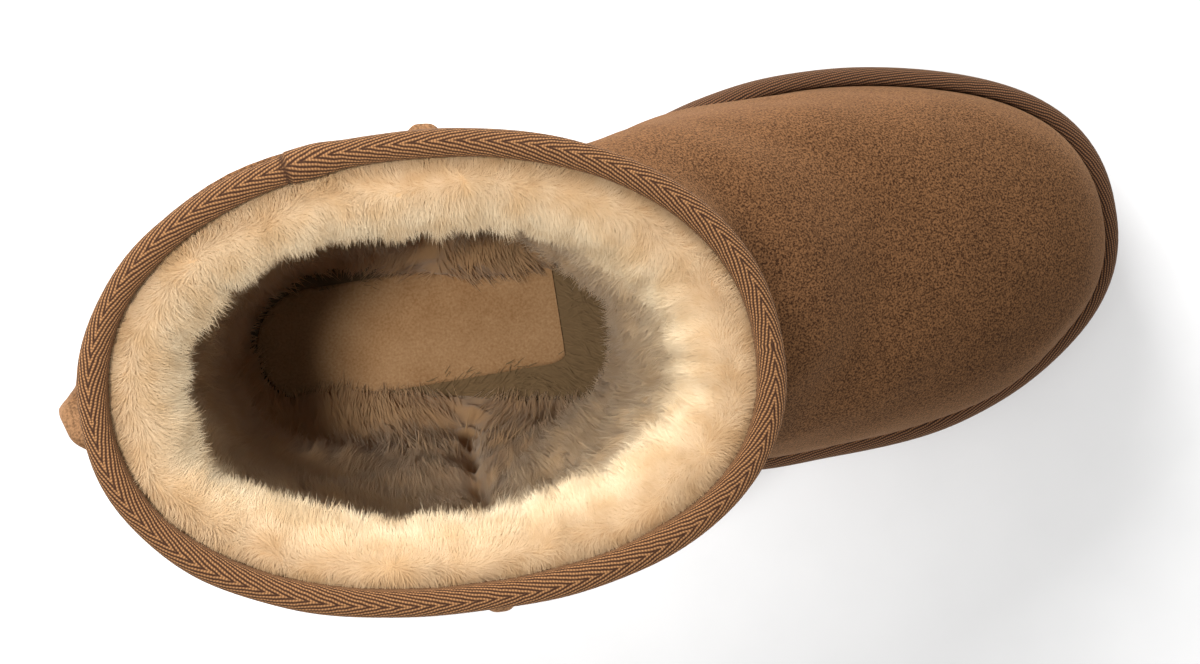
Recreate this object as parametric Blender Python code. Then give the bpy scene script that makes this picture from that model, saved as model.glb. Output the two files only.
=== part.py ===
# Sheepskin boot, right foot: a suede-out hide upper with deep fleece inside, twill tape
# bindings at collar and sole, a heel counter, a moulded outsole and a fleece insole.
# Metres, +X to the toe, +Y to the inner side of the foot, +Z up, floor at Z = 0.

import math

import bpy

mm = 0.001

# Main sizes of the last, measured on the outside of the upper
last_length = 253.4 * mm     # heel to toe along the feather line, where upper meets sole
ball_width = 98.4 * mm       # across the ball at the feather line
boot_height = 212.0 * mm     # floor to the top of the collar binding
collar_length = 132.0 * mm   # front to back at the collar's edge
collar_width = 93.0 * mm     # side to side at the collar's edge

# Walls and layers
hide = 2.3 * mm              # leather of the upper
fleece_depth = 9.8 * mm      # wool on the inside wall
fleece_roll = 3.4 * mm       # how much further the wool stands in just under the collar
roll_fade = (60 * mm, 20 * mm)   # the roll starts and is full at these depths under the collar
throat_wool = 7.0 * mm       # extra wool at the front of the shaft, where the two sides meet over the instep
throat_rows = (6.5, 8.5)     # rows of the ring table over which that extra starts
throat_start = 0.45          # where it starts round each ring, as a share of the ring's length
lock_depth = 1.5 * mm        # relief of the wool locks
gap = 0.3 * mm               # clearance between neighbouring pieces
insole_thickness = 8.0 * mm
patch_thickness = 1.2 * mm
patch_seat = 0.45 * mm       # clearance under the patch, which bends with the footbed
patch_length = 86.0 * mm
patch_width = 31.0 * mm

# Collar binding: tape folded over the edge
tape = 1.3 * mm
tape_drop_outside = 11.0 * mm
tape_drop_inside = 8.0 * mm
collar_pinch = 2.2 * mm      # how far the tape pulls the hide in

# Fullness of the upper over the arch, on the medial side
arch_fullness = 7.3 * mm
arch_middle = 122.5 * mm     # from the heel
arch_length = 30.0 * mm      # to about a third of the fullness, either way

# Sole binding: a rounded tape band standing on the sole's edge
band_width = 5.0 * mm
band_height = 8.0 * mm

# Raised seams, and where the side seams run
side_seam_height = 1.9 * mm
side_seam_width = 7.0 * mm
side_seam_from_heel = 66.0 * mm
back_seam_height = 3.4 * mm
back_seam_width = 10.0 * mm
back_seam_rows = (7.0, 12.0)  # rows over which the back seam grows to its full height

# Heel counter
counter_thickness = 1.5 * mm
counter_height = 56.0 * mm   # above the sole binding, at the back
counter_reach = 57.0 * mm    # forward from the heel end, at its foot

# Outsole
heel_thickness = 22.0 * mm
forefoot_thickness = 12.0 * mm
toe_spring = 7.0 * mm
arch_rise = 3.2 * mm
sole_lip = 4.7 * mm          # how far the sole's side stands out from the upper
side_groove = 0.9 * mm       # depth of the line round the sole's side
edge_radius = 1.4 * mm
lug_depth = 2.4 * mm
lug_groove = 3.2 * mm
lug_pitch = 11.0 * mm
lug_wave = 2.6 * mm
lug_rim = 8.0 * mm

# Half-widths of the feather line, as shares of ball_width, by share of last_length
foot_stations = [
    # along, medial, lateral
    (0.00, 0.345, 0.345),
    (0.16, 0.350, 0.350),
    (0.34, 0.345, 0.398),
    (0.42, 0.355, 0.436),
    (0.50, 0.398, 0.472),
    (0.58, 0.458, 0.510),
    (0.67, 0.490, 0.512),
    (0.85, 0.495, 0.514),
    (1.00, 0.525, 0.466),
]

# One row for each ring of the upper, from the feather line to the collar.
# shaft: 0 follows the foot's sizes, 1 follows the collar's
# back: where the ring starts, share of last_length; reach: its length, share of the blended length
# rise_back, rise_front: height between the sole binding's top (0) and the collar's edge (1)
# rear, fore: width multipliers behind and ahead; tip, heel: shares of the ring that round off
# square: superellipse power of the front end
# lean: shift of the ring towards the lateral side, and sway: of its front only, shares of ball_width
ring_columns = (
    "shaft", "back", "reach", "rise_back", "rise_front", "rear", "fore", "tip", "heel", "square", "lean", "sway",
)
ring_table = [
    (0.00, 0.000, 0.996, 0.000, 0.000, 1.000, 1.000, 0.355, 0.178, 2.30, 0.000, 0.009),
    (0.00, -0.003, 0.997, 0.000, 0.000, 1.012, 1.000, 0.358, 0.178, 2.30, 0.004, 0.009),
    (0.00, -0.008, 0.989, 0.062, 0.072, 1.040, 0.992, 0.362, 0.180, 2.28, 0.010, 0.009),
    (0.04, -0.011, 0.978, 0.117, 0.136, 1.045, 0.962, 0.370, 0.184, 2.25, 0.012, 0.009),
    (0.10, -0.010, 0.943, 0.168, 0.191, 1.035, 0.925, 0.380, 0.196, 2.22, 0.012, 0.009),
    (0.20, -0.008, 0.904, 0.212, 0.237, 1.015, 0.905, 0.400, 0.222, 2.20, 0.010, 0.008),
    (0.31, -0.006, 0.849, 0.257, 0.281, 0.995, 0.900, 0.425, 0.268, 2.18, 0.008, 0.007),
    (0.45, -0.004, 0.815, 0.304, 0.338, 0.965, 0.905, 0.450, 0.335, 2.16, 0.005, 0.003),
    (0.60, -0.003, 0.786, 0.358, 0.406, 0.945, 0.915, 0.475, 0.405, 2.15, 0.003, -0.006),
    (0.76, -0.005, 0.806, 0.430, 0.490, 0.935, 0.935, 0.490, 0.460, 2.15, 0.002, -0.018),
    (0.90, -0.011, 0.886, 0.541, 0.596, 0.960, 0.960, 0.500, 0.490, 2.15, 0.002, -0.032),
    (1.00, -0.021, 0.983, 0.691, 0.729, 0.990, 0.990, 0.500, 0.500, 2.15, 0.002, -0.050),
    (1.00, -0.034, 1.050, 0.866, 0.875, 1.042, 1.042, 0.500, 0.500, 2.18, 0.001, -0.062),
    (1.00, -0.033, 1.042, 1.000, 1.000, 1.028, 1.028, 0.500, 0.500, 2.21, 0.001, -0.066),
]
back_power = 2.15            # superellipse power of the back end of each ring
last_row = len(ring_table) - 1
collar_edge = boot_height - tape - gap

# How finely the surfaces are cut
columns_rear = 4
columns_fore = 12
dense_steps = 160
fold_turns = 4               # facets over the folded edge of the collar binding
lower_rings = [0.0, 0.5, 1.0, 1.8, 2.7, 3.7, 4.7, 5.8, 6.9, 8.0, 9.1, 10.3, 11.5]


def lerp(a, b, share):
    return a + (b - a) * share


def smooth(share):
    share = min(max(share, 0.0), 1.0)
    return share * share * (3 - 2 * share)


def spline(places, values, at):
    """Smooth curve through the values, with tangents taken from the neighbours."""
    at = min(max(at, places[0]), places[-1])
    k = max(i for i in range(len(places) - 1) if places[i] <= at)

    def slope(i):
        low, high = max(i - 1, 0), min(i + 1, len(places) - 1)
        return (values[high] - values[low]) / (places[high] - places[low])

    step = places[k + 1] - places[k]
    t = (at - places[k]) / step
    return (
        values[k] * (2 * t**3 - 3 * t**2 + 1)
        + slope(k) * step * (t**3 - 2 * t**2 + t)
        + values[k + 1] * (3 * t**2 - 2 * t**3)
        + slope(k + 1) * step * (t**3 - t**2)
    )


# The sole's own lines, from the side


def sole_bottom(x, with_arch=True):
    along = x / last_length
    spring = toe_spring * max(0.0, (along - 0.76) / 0.24) ** 1.8
    arch = arch_rise * smooth((along - 0.30) / 0.08) * smooth((0.57 - along) / 0.08)
    return spring + (arch if with_arch else 0.0)


def sole_top(x):
    along = x / last_length
    thickness = lerp(heel_thickness, forefoot_thickness, smooth((along - 0.20) / 0.42))
    return sole_bottom(x, with_arch=False) + thickness


# The upper's outer surface


def ring_row(v):
    """The table's row at v, a whole number at each row and smooth between them."""
    places = list(range(len(ring_table)))
    return {
        name: spline(places, [row[i] for row in ring_table], v)
        for i, name in enumerate(ring_columns)
    }


def foot_half_width(x, side):
    places = [row[0] for row in foot_stations]
    column = 1 if side > 0 else 2
    return ball_width * spline(places, [row[column] for row in foot_stations], x / last_length)


def end_rounding(share, row):
    """1 along the middle of a ring, closing to 0 at its two ends."""
    width = 1.0
    if share < row["heel"]:
        width *= max(0.0, 1 - (1 - share / row["heel"]) ** back_power) ** (1 / back_power)
    if share > 1 - row["tip"]:
        closing = (share - 1 + row["tip"]) / row["tip"]
        width *= max(0.0, 1 - closing ** row["square"]) ** (1 / row["square"])
    return width


def fullness(x, v):
    """Extra half-width over the arch at x on ring v, none at the feather line and in the shaft."""
    along = math.exp(-(((x - arch_middle) / arch_length) ** 2))
    return arch_fullness * along * smooth((v - 0.8) / 1.6) * smooth((10.5 - v) / 3.5)


def ring_side(v, side):
    """Closely spaced (x, y) along one side of ring v, from the back to the front."""
    row = ring_row(v)
    start = row["back"] * last_length
    length = row["reach"] * lerp(last_length, collar_length, row["shaft"])
    points = []
    for i in range(dense_steps + 1):
        share = (1 - math.cos(math.pi * i / dense_steps)) / 2
        x = start + share * length
        half = lerp(foot_half_width(x, side), collar_width / 2, row["shaft"])
        half *= lerp(row["rear"], row["fore"], smooth((x / last_length - 0.15) / 0.5))
        half += fullness(x, v) if side > 0 else 0.0
        shift = ball_width * (row["sway"] * share**2 - row["lean"])
        points.append((x, side * half * end_rounding(share, row) + shift))
    return points


def along_polyline(points, targets):
    """Points at the target distances along a polyline. Targets rise."""
    found, travelled, k = [], 0.0, 0
    for target in targets:
        while k < len(points) - 2 and travelled + math.dist(points[k], points[k + 1]) < target:
            travelled += math.dist(points[k], points[k + 1])
            k += 1
        step = math.dist(points[k], points[k + 1])
        share = min((target - travelled) / step, 1.0)
        found.append(tuple(lerp(a, b, share) for a, b in zip(points[k], points[k + 1])))
    return found


def side_targets(points):
    """Distances along a ring's side: across the back seam, to the side seam, over it and on to the front."""
    total = sum(math.dist(a, b) for a, b in zip(points, points[1:]))
    to_seam = sum(math.dist(a, b) for a, b in zip(points, points[1:]) if b[0] < side_seam_from_heel)
    ridge = side_seam_width / 2
    back = [0.0, back_seam_width * 0.28, back_seam_width * 0.5]
    rear_end, fore_start = to_seam - ridge, to_seam + ridge
    rear = [lerp(back[-1], rear_end, i / (columns_rear + 1)) for i in range(1, columns_rear + 1)]
    seam = [rear_end, to_seam - ridge * 0.45, to_seam + ridge * 0.45, fore_start]
    fore = [lerp(fore_start, total, i / (columns_fore + 1)) for i in range(1, columns_fore + 2)]
    return back + rear + seam + fore


# Height of each seam's ridge over the columns of one side, 1 at the crest
column_count = 3 + columns_rear + 4 + columns_fore + 1
side_ridge = {3 + columns_rear + 1: 1.0, 3 + columns_rear + 2: 1.0}
back_ridge = {0: 1.0, 1: 0.85}


def ring_points(v):
    """One ring of the upper: from the back seam over the medial side to the front and back again."""
    row = ring_row(v)
    start = row["back"] * last_length
    length = row["reach"] * lerp(last_length, collar_length, row["shaft"])
    ring = []
    for side in (1, -1):
        points = ring_side(v, side)
        placed = along_polyline(points, side_targets(points))
        placed = placed if side > 0 else placed[-2:0:-1]
        for x, y in placed:
            share = min(max((x - start) / length, 0.0), 1.0)
            rise = lerp(row["rise_back"], row["rise_front"], smooth(share)) if v > 1 else 0.0
            floor = sole_top(x) + gap + min(v, 1.0) * (band_height + gap)
            ring.append((x, y, floor + rise * (collar_edge - floor)))
    return ring


def ring_at_depth(depth):
    """v of the ring whose back lies this far under the collar's edge."""
    low, high = last_row - 2.0, float(last_row)
    floor = sole_top(0.0) + band_height + 2 * gap
    wanted = 1 - depth / (collar_edge - floor)
    for _ in range(30):
        middle = (low + high) / 2
        if ring_row(middle)["rise_back"] < wanted:
            low = middle
        else:
            high = middle
    return high


def subtract(a, b):
    return tuple(p - q for p, q in zip(a, b))


def cross(a, b):
    return (a[1] * b[2] - a[2] * b[1], a[2] * b[0] - a[0] * b[2], a[0] * b[1] - a[1] * b[0])


def unit(a):
    size = math.sqrt(sum(p * p for p in a))
    return tuple(p / size for p in a)


def outward(rings, i, j, flat):
    """Outward direction of the surface at ring i, column j. flat keeps it level, as at a cut edge."""
    ring = rings[i]
    ahead, behind = subtract(ring[(j + 1) % len(ring)], ring[j]), subtract(ring[j], ring[j - 1])
    evenness = math.hypot(*behind) / math.hypot(*ahead)
    around = tuple(a * evenness + b / evenness for a, b in zip(ahead, behind))
    up = subtract(rings[min(i + 1, len(rings) - 1)][j], rings[max(i - 1, 0)][j])
    x, y, z = unit(cross(up, around))
    return unit((x, y, z * (1 - flat)))


def pushed(point, direction, distance):
    return tuple(p + distance * d for p, d in zip(point, direction))


binding_edge = tape_drop_outside + 0.8 * mm
collar_depths = [20 * mm, binding_edge + 3 * mm, binding_edge, 7.5 * mm, 3.8 * mm, 0.0]
ring_places = lower_rings + [ring_at_depth(depth) for depth in collar_depths]
plain_rings = [ring_points(v) for v in ring_places]
ring_total = len(ring_places)
around_total = len(plain_rings[0])


def depth_of(i):
    return collar_edge - plain_rings[i][0][2]


def flatness(i):
    """How level the offsets are at ring i: fully at the feather line and at the collar."""
    at_foot = 1 - smooth((ring_places[i] - 1.0) / 3.0)
    at_collar = 1 - smooth((depth_of(i) - binding_edge) / (14 * mm))
    return max(at_foot, at_collar)


normals = [
    [outward(plain_rings, i, j, flatness(i)) for j in range(around_total)] for i in range(ring_total)
]


def pinch(i):
    return collar_pinch * (1 - smooth((depth_of(i) - binding_edge) / (3 * mm)))


def offset_grid(distance):
    """The upper's surface moved out by distance(i, j)."""
    return [
        [pushed(plain_rings[i][j], normals[i][j], distance(i, j) - pinch(i)) for j in range(around_total)]
        for i in range(ring_total)
    ]


def seam_height(i, j):
    """Height of the raised seams at ring i, column j, none under either binding."""
    column = j if j < column_count else 2 * (column_count - 1) - j
    above_band = smooth((ring_places[i] - 1.0) / 0.8)
    under_tape = smooth((depth_of(i) - binding_edge) / (2.0 * mm))
    shown = above_band * under_tape
    growth = (ring_places[i] - back_seam_rows[0]) / (back_seam_rows[1] - back_seam_rows[0])
    taper = lerp(0.45, 1.0, smooth(growth))
    side = side_seam_height * side_ridge.get(column, 0.0)
    back = back_seam_height * taper * back_ridge.get(column, 0.0)
    return shown * (side + back)


# Making objects


def clear_scene():
    for obj in list(bpy.data.objects):
        bpy.data.objects.remove(obj)


def material(name, colour, roughness):
    made = bpy.data.materials.new(name)
    made.use_nodes = True
    shader = made.node_tree.nodes["Principled BSDF"]
    shader.inputs["Base Color"].default_value = (*colour, 1.0)
    shader.inputs["Roughness"].default_value = roughness
    shader.inputs["Metallic"].default_value = 0.0
    return made


def mesh_object(name, points, faces, collection, finish=None):
    mesh = bpy.data.meshes.new(name)
    mesh.from_pydata(points, [], faces)
    mesh.validate()
    obj = bpy.data.objects.new(name, mesh)
    collection.objects.link(obj)
    if finish:
        mesh.materials.append(finish)
        mesh.shade_smooth()
        mesh.set_sharp_from_angle(angle=math.radians(40))
    return obj


def band_faces(rings, closed=False):
    """Triangles between closed rings. Their diagonals all rise the same way, so that layers stay parallel."""
    faces = []
    count = len(rings[0])
    for i in range(len(rings) if closed else len(rings) - 1):
        following = (i + 1) % len(rings)
        a, b = i * count, following * count
        rising = rings[following][0][2] >= rings[i][0][2]
        for j in range(count):
            k = (j + 1) % count
            if rising:
                faces += [(a + j, b + j, b + k), (a + j, b + k, a + k)]
            else:
                faces += [(a + j, b + j, a + k), (b + j, b + k, a + k)]
    return faces


def flatten(grid):
    return [point for row in grid for point in row]


def ladder_faces(first, count, upward):
    """Closes a ring across its width, joining each column to the one facing it."""
    faces = []
    half = count // 2
    for j in range(half):
        a, b = first + j, first + j + 1
        c, d = first + (count - j - 1) % count, first + (count - j) % count
        corners = [a, b, c, d]
        face = [p for n, p in enumerate(corners) if p not in corners[:n]]
        faces.append(tuple(face[::-1] if upward else face))
    return faces


def plate(name, rings, collection, finish):
    """A solid from stacked rings, lowest first, closed across its foot and its top."""
    count = len(rings[0])
    faces = band_faces(rings)
    faces += ladder_faces(0, count, upward=False)
    faces += ladder_faces((len(rings) - 1) * count, count, upward=True)
    return mesh_object(name, flatten(rings), faces, collection, finish)


def swept(name, sections, collection, finish):
    """A closed wall from closed rings, each ring one corner of its section: up outside, down inside."""
    return mesh_object(name, flatten(sections), band_faces(sections, closed=True), collection, finish)


def ring_from(i, distance, height):
    """Ring i pushed out level by a distance and lifted by a height."""
    return [
        (*pushed(plain_rings[i][j], normals[i][j], distance - pinch(i))[:2], plain_rings[i][j][2] + height)
        for j in range(around_total)
    ]


def ring_above_sole(grid, height, distance):
    """A ring on the grid at one height above the sole's top, then moved out level by a distance."""
    ring = []
    for j in range(around_total):
        heights = [row[j][2] for row in grid]
        wanted = heights[0] + height
        i = max(n for n in range(len(grid) - 1) if heights[n] <= wanted)
        share = (wanted - heights[i]) / (heights[i + 1] - heights[i])
        point = [lerp(a, b, share) for a, b in zip(grid[i][j], grid[i + 1][j])]
        x, y, _ = pushed(point, normals[0][j], distance)
        ring.append((x, y, sole_top(x) + gap + height))
    return ring


# The pieces


def make_upper(collection, finish):
    """The hide: one wall, open at the collar and underneath, with its raised seams."""
    outer = offset_grid(seam_height)
    inner = offset_grid(lambda i, j: -hide)
    return swept("upper", outer + inner[::-1], collection, finish)


def lining_depth(i):
    """Wool standing in from the hide at ring i, with the roll under the collar."""
    depth = depth_of(i)
    roll = fleece_roll * smooth((roll_fade[0] - depth) / (roll_fade[0] - roll_fade[1]))
    shoulder = math.sqrt(max(0.0, 1 - max(0.0, 1 - depth / (15 * mm)) ** 2))
    return (fleece_depth + roll) * lerp(0.42, 1.0, shoulder)


def wool_lock(i, j):
    """Relief of the wool: staggered locks, none where the wool meets the insole."""
    clear_of_insole = smooth((ring_places[i] - 1.0) / 1.6)
    return lock_depth * clear_of_insole * (0.5 if (i + j) % 2 else -0.5)


def back_of_wool(i, j):
    """Where the wool starts: just inside the hide, and inside the tape at the collar."""
    beside_tape = 1 - smooth((depth_of(i) - tape_drop_inside - 1.5 * mm) / (2 * mm))
    return -(hide + gap + (tape + gap) * beside_tape)


def throat(i, j):
    """Extra wool at the front of the shaft, at ring i and column j."""
    ring = plain_rings[i]
    share = (ring[j][0] - ring[0][0]) / (ring[around_total // 2][0] - ring[0][0])
    height = (ring_places[i] - throat_rows[0]) / (throat_rows[1] - throat_rows[0])
    below_tape = smooth(depth_of(i) / binding_edge)
    return throat_wool * smooth((share - throat_start) / (1 - throat_start)) * smooth(height) * below_tape


def wool_surface():
    return offset_grid(lambda i, j: back_of_wool(i, j) - lining_depth(i) - throat(i, j) - wool_lock(i, j))


def make_lining(collection, finish):
    """The wool side of the hide, a sleeve from the insole up into the collar binding."""
    rows = [i for i in range(ring_total) if depth_of(i) > 3 * mm]
    outer, inner = offset_grid(back_of_wool), wool_surface()
    sections = [outer[i] for i in rows] + [inner[i] for i in reversed(rows)]
    return swept("fleece_lining", sections, collection, finish)


def make_sole_binding(collection, finish):
    """A tape band with a rounded face, standing on the sole's edge against the upper."""
    face = [(0.80, 0.0), (0.96, 0.18), (1.0, 0.50), (0.88, 0.80), (0.55, 1.0)]
    sections = [ring_above_sole(plain_rings, band_height * up, gap + band_width * out) for out, up in face]
    sections += [ring_above_sole(plain_rings, band_height * up, gap) for up in (1.0, 0.5, 0.0)]
    return swept("sole_binding", sections, collection, finish)


def make_collar_binding(collection, finish):
    """Tape folded over the hide's edge, in and out."""
    edge = ring_total - 1
    outside = [i for i in range(ring_total) if depth_of(i) <= tape_drop_outside + 1 * mm]
    inside = [i for i in outside if depth_of(i) <= tape_drop_inside]
    out, back = gap + tape, -(hide + gap)
    sections = [ring_from(i, gap, 0.0) for i in outside]
    sections += [ring_from(edge, gap, gap), ring_from(edge, back, gap)]
    sections += [ring_from(i, back, 0.0) for i in reversed(inside)]
    sections += [ring_from(i, back - tape, 0.0) for i in inside[:-1]]
    middle = -hide / 2
    for turn in range(1, fold_turns):
        angle = math.pi * turn / fold_turns
        half = hide / 2 + gap + tape
        sections.append(ring_from(edge, middle - half * math.cos(angle), (gap + tape) * math.sin(angle)))
    sections += [ring_from(i, out, 0.0) for i in reversed(outside[1:-1])]
    sections.append(ring_from(outside[0], out - tape * 0.4, 0.0))
    return swept("collar_binding", sections[::-1], collection, finish)


def counter_cutter(cutters):
    """The counter's side view as a prism: upright in front, then an arc up to the back."""
    foot = sole_top(0.0) + gap + band_height + 0.6 * mm
    front = counter_height * 0.45
    back_end = -20 * mm
    outline = [(back_end, foot), (counter_reach, foot), (counter_reach, foot + front)]
    steps = 10
    for k in range(1, steps + 1):
        angle = math.pi / 2 * k / steps
        height = lerp(front, counter_height, math.sin(angle))
        outline.append((counter_reach * math.cos(angle), foot + height))
    outline.append((back_end, foot + counter_height))
    count = len(outline)
    points = [(x, y, z) for y in (-ball_width, ball_width) for x, z in outline]
    faces = [tuple(range(count)), tuple(range(2 * count - 1, count - 1, -1))]
    for k in range(count):
        following = (k + 1) % count
        faces.append((following, k, k + count, following + count))
    return mesh_object("counter_cutter", points, faces, cutters)


def cut_with(obj, cutter, operation):
    cutter.hide_render = True
    cutter.display_type = "WIRE"
    cut = obj.modifiers.new(cutter.name, "BOOLEAN")
    cut.operation = operation
    cut.object = cutter


def make_heel_counter(collection, finish, cutters):
    """A suede overlay round the heel, over the back seam: a sleeve on the upper, cut to the counter's outline."""
    rows = [i for i in range(1, ring_total) if plain_rings[i - 1][0][2] < sole_top(0.0) + 2 * counter_height]
    outer = offset_grid(lambda i, j: gap + seam_height(i, j) + counter_thickness)
    inner = offset_grid(lambda i, j: gap + seam_height(i, j))
    sections = [outer[i] for i in rows] + [inner[i] for i in reversed(rows)]
    counter = swept("heel_counter", sections, collection, finish)
    cut_with(counter, counter_cutter(cutters), "INTERSECT")
    return counter


def sole_ring(outset, place):
    """A ring of the sole's side, outset from the upper, at a share of its local height."""
    ring = []
    for j in range(around_total):
        x, y, _ = pushed(plain_rings[0][j], normals[0][j], outset)
        low, high = sole_bottom(x), sole_top(x)
        ring.append((x, y, place(low, high)))
    return ring


def groove_cutter(x_middle):
    """Points and faces of one wavy channel across the tread."""
    steps = 6
    width, depth_top = lug_groove, sole_bottom(x_middle) + lug_depth
    reach_medial = foot_half_width(x_middle, 1) * tread_closing(x_middle) + sole_lip - lug_rim
    reach_lateral = foot_half_width(x_middle, -1) * tread_closing(x_middle) + sole_lip - lug_rim
    points = []
    for z in (-5 * mm, depth_top):
        for i in range(steps + 1):
            share = i / steps
            y = lerp(-reach_lateral, reach_medial, share)
            wave = lug_wave * math.cos(2 * math.pi * share)
            points.append((x_middle + wave - width / 2, y, z))
            points.append((x_middle + wave + width / 2, y, z))
    layer = 2 * (steps + 1)
    faces = []
    for i in range(steps):
        a = 2 * i
        faces.append((a, a + 2, a + 3, a + 1))
        faces.append((layer + a + 1, layer + a + 3, layer + a + 2, layer + a))
        faces.append((a, layer + a, layer + a + 2, a + 2))
        faces.append((a + 3, layer + a + 3, layer + a + 1, a + 1))
    end = 2 * steps
    faces.append((1, layer + 1, layer, 0))
    faces.append((end, layer + end, layer + end + 1, end + 1))
    return points, faces


def tread_closing(x):
    """How much the feather line has closed in at x, towards either end."""
    row = ring_row(0)
    return end_rounding(x / last_length, row)


def make_outsole(collection, finish, cutters):
    wall = sole_lip
    rings = [
        sole_ring(wall - edge_radius, lambda low, high: low),
        sole_ring(wall, lambda low, high: low + edge_radius),
        sole_ring(wall, lambda low, high: lerp(low, high, 0.46)),
        sole_ring(wall - side_groove, lambda low, high: lerp(low, high, 0.52)),
        sole_ring(wall - side_groove, lambda low, high: lerp(low, high, 0.60)),
        sole_ring(wall - 0.3 * side_groove, lambda low, high: lerp(low, high, 0.66)),
        sole_ring(wall - 0.3 * side_groove, lambda low, high: high),
    ]
    sole = plate("outsole", rings, collection, finish)
    points, faces = [], []
    zones = ((0.055, 0.285), (0.585, 0.945))
    for start, end in zones:
        count = int((end - start) * last_length / lug_pitch)
        for k in range(count + 1):
            x = start * last_length + k * lug_pitch
            new_points, new_faces = groove_cutter(x)
            faces += [tuple(p + len(points) for p in face) for face in new_faces]
            points += new_points
    cut_with(sole, mesh_object("tread_cutter", points, faces, cutters), "DIFFERENCE")
    return sole


def make_insole(collection, finish):
    wool = wool_surface()
    corner = insole_thickness * 0.2
    rings = [
        ring_above_sole(wool, 0.0, -gap),
        ring_above_sole(wool, insole_thickness - corner, -gap),
        ring_above_sole(wool, insole_thickness, -gap - corner),
    ]
    return plate("insole", rings, collection, finish)


def make_patch(collection, finish):
    """The suede patch on the heel half of the insole: round at the heel, cut straight ahead."""
    inset = hide + gap + lining_depth(0) + gap
    start = inset + 2.0 * mm
    steps = 16
    sides = ([], [])
    for i in range(steps + 1):
        share = (1 - math.cos(math.pi * i / steps)) / 2
        x = start + share * patch_length
        half = patch_width / 2
        closing = min(share * patch_length / (patch_width / 2), 1.0)
        half *= math.sqrt(max(0.0, 1 - (1 - closing) ** 2))
        ahead = (1 - share) * patch_length / (5 * mm)
        half *= lerp(0.86, 1.0, math.sqrt(max(0.0, 1 - max(0.0, 1 - ahead) ** 2)))
        sides[0].append((x, half))
        sides[1].append((x, -half))
    outline = sides[0] + sides[1][::-1][0:-1]
    rings = []
    for lift, shrink in ((0.0, 1.0), (patch_thickness, 0.97)):
        ring = []
        for x, y in outline:
            ring.append((x, y * shrink, sole_top(x) + gap + insole_thickness + patch_seat + lift))
        rings.append(ring)
    count = len(outline)
    faces = band_faces(rings)
    for j in range(steps):
        a, b, c, d = j, j + 1, (count - j - 1), (count - j) % count
        face = (a, b, c, d) if j else (a, b, c)
        faces.append(face)
        faces.append(tuple(p + count for p in face[::-1]))
    return mesh_object("insole_patch", flatten(rings), faces, collection, finish)


def centre_on_floor(pieces, cutters):
    """Hangs the pieces on an empty, so that the origin is the middle of the boot's box, on the floor."""
    anchor = bpy.data.objects.new("boot", None)
    bpy.context.scene.collection.objects.link(anchor)
    bpy.context.view_layer.update()
    corners = [vertex.co for obj in pieces if obj.name != "heel_counter" for vertex in obj.data.vertices]
    for axis in (0, 1):
        low, high = min(c[axis] for c in corners), max(c[axis] for c in corners)
        anchor.location[axis] = -(low + high) / 2
    for obj in pieces + cutters:
        obj.parent = anchor


def main():
    clear_scene()
    boot = bpy.data.collections.new("sheepskin_boot")
    cutters = bpy.data.collections.new("cutters")
    for collection in (boot, cutters):
        bpy.context.scene.collection.children.link(collection)
    suede = material("suede", (0.36, 0.19, 0.10), 0.95)
    twill = material("twill_tape", (0.27, 0.13, 0.07), 0.85)
    wool = material("wool", (0.80, 0.66, 0.44), 0.95)
    tan = material("tan_suede", (0.50, 0.33, 0.19), 0.9)
    foam = material("moulded_sole", (0.24, 0.13, 0.07), 0.7)
    pieces = [
        make_outsole(boot, foam, cutters),
        make_sole_binding(boot, twill),
        make_upper(boot, suede),
        make_heel_counter(boot, suede, cutters),
        make_collar_binding(boot, twill),
        make_lining(boot, wool),
        make_insole(boot, wool),
        make_patch(boot, tan),
    ]
    centre_on_floor(pieces, list(cutters.objects))


main()
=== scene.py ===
import math

import bpy
import numpy as np
from mathutils import Matrix, Vector


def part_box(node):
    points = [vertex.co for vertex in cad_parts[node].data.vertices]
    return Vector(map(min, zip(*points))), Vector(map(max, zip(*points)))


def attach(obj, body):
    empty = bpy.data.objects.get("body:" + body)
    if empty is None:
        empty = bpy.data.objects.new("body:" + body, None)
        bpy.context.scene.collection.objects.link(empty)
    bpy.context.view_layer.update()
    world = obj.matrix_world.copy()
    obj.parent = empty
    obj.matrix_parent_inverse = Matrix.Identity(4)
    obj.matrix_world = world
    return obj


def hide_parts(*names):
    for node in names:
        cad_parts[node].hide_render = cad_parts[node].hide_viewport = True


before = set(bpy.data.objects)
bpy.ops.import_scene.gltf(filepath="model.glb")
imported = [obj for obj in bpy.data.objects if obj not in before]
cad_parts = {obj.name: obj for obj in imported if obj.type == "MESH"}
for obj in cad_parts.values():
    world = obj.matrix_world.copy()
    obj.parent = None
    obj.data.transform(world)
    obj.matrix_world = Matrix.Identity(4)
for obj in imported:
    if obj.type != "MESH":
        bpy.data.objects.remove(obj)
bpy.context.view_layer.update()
mm = 0.001
scene = bpy.context.scene
nodeBoxes = {name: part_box(name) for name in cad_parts}


# Small tools


def hexColour(code):
    # sRGB hex to the linear values that a socket takes
    parts = [int(code[i:i + 2], 16) / 255 for i in (1, 3, 5)]
    return tuple(c / 12.92 if c <= 0.04045 else ((c + 0.055) / 1.055) ** 2.4 for c in parts) + (1.0,)


def addNode(tree, kind, links=None, **settings):
    # One node with its settings; links gives a socket a value, a node (its first output) or (node, output)
    node = tree.nodes.new(kind)
    for key, value in settings.items():
        setattr(node, key, value)
    for socket, source in (links or {}).items():
        target = node.inputs[socket]
        if isinstance(source, bpy.types.Node):
            tree.links.new(source.outputs[0], target)
        elif isinstance(source, tuple) and isinstance(source[0], bpy.types.Node):
            tree.links.new(source[0].outputs[source[1]], target)
        else:
            target.default_value = source
    return node


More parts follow.
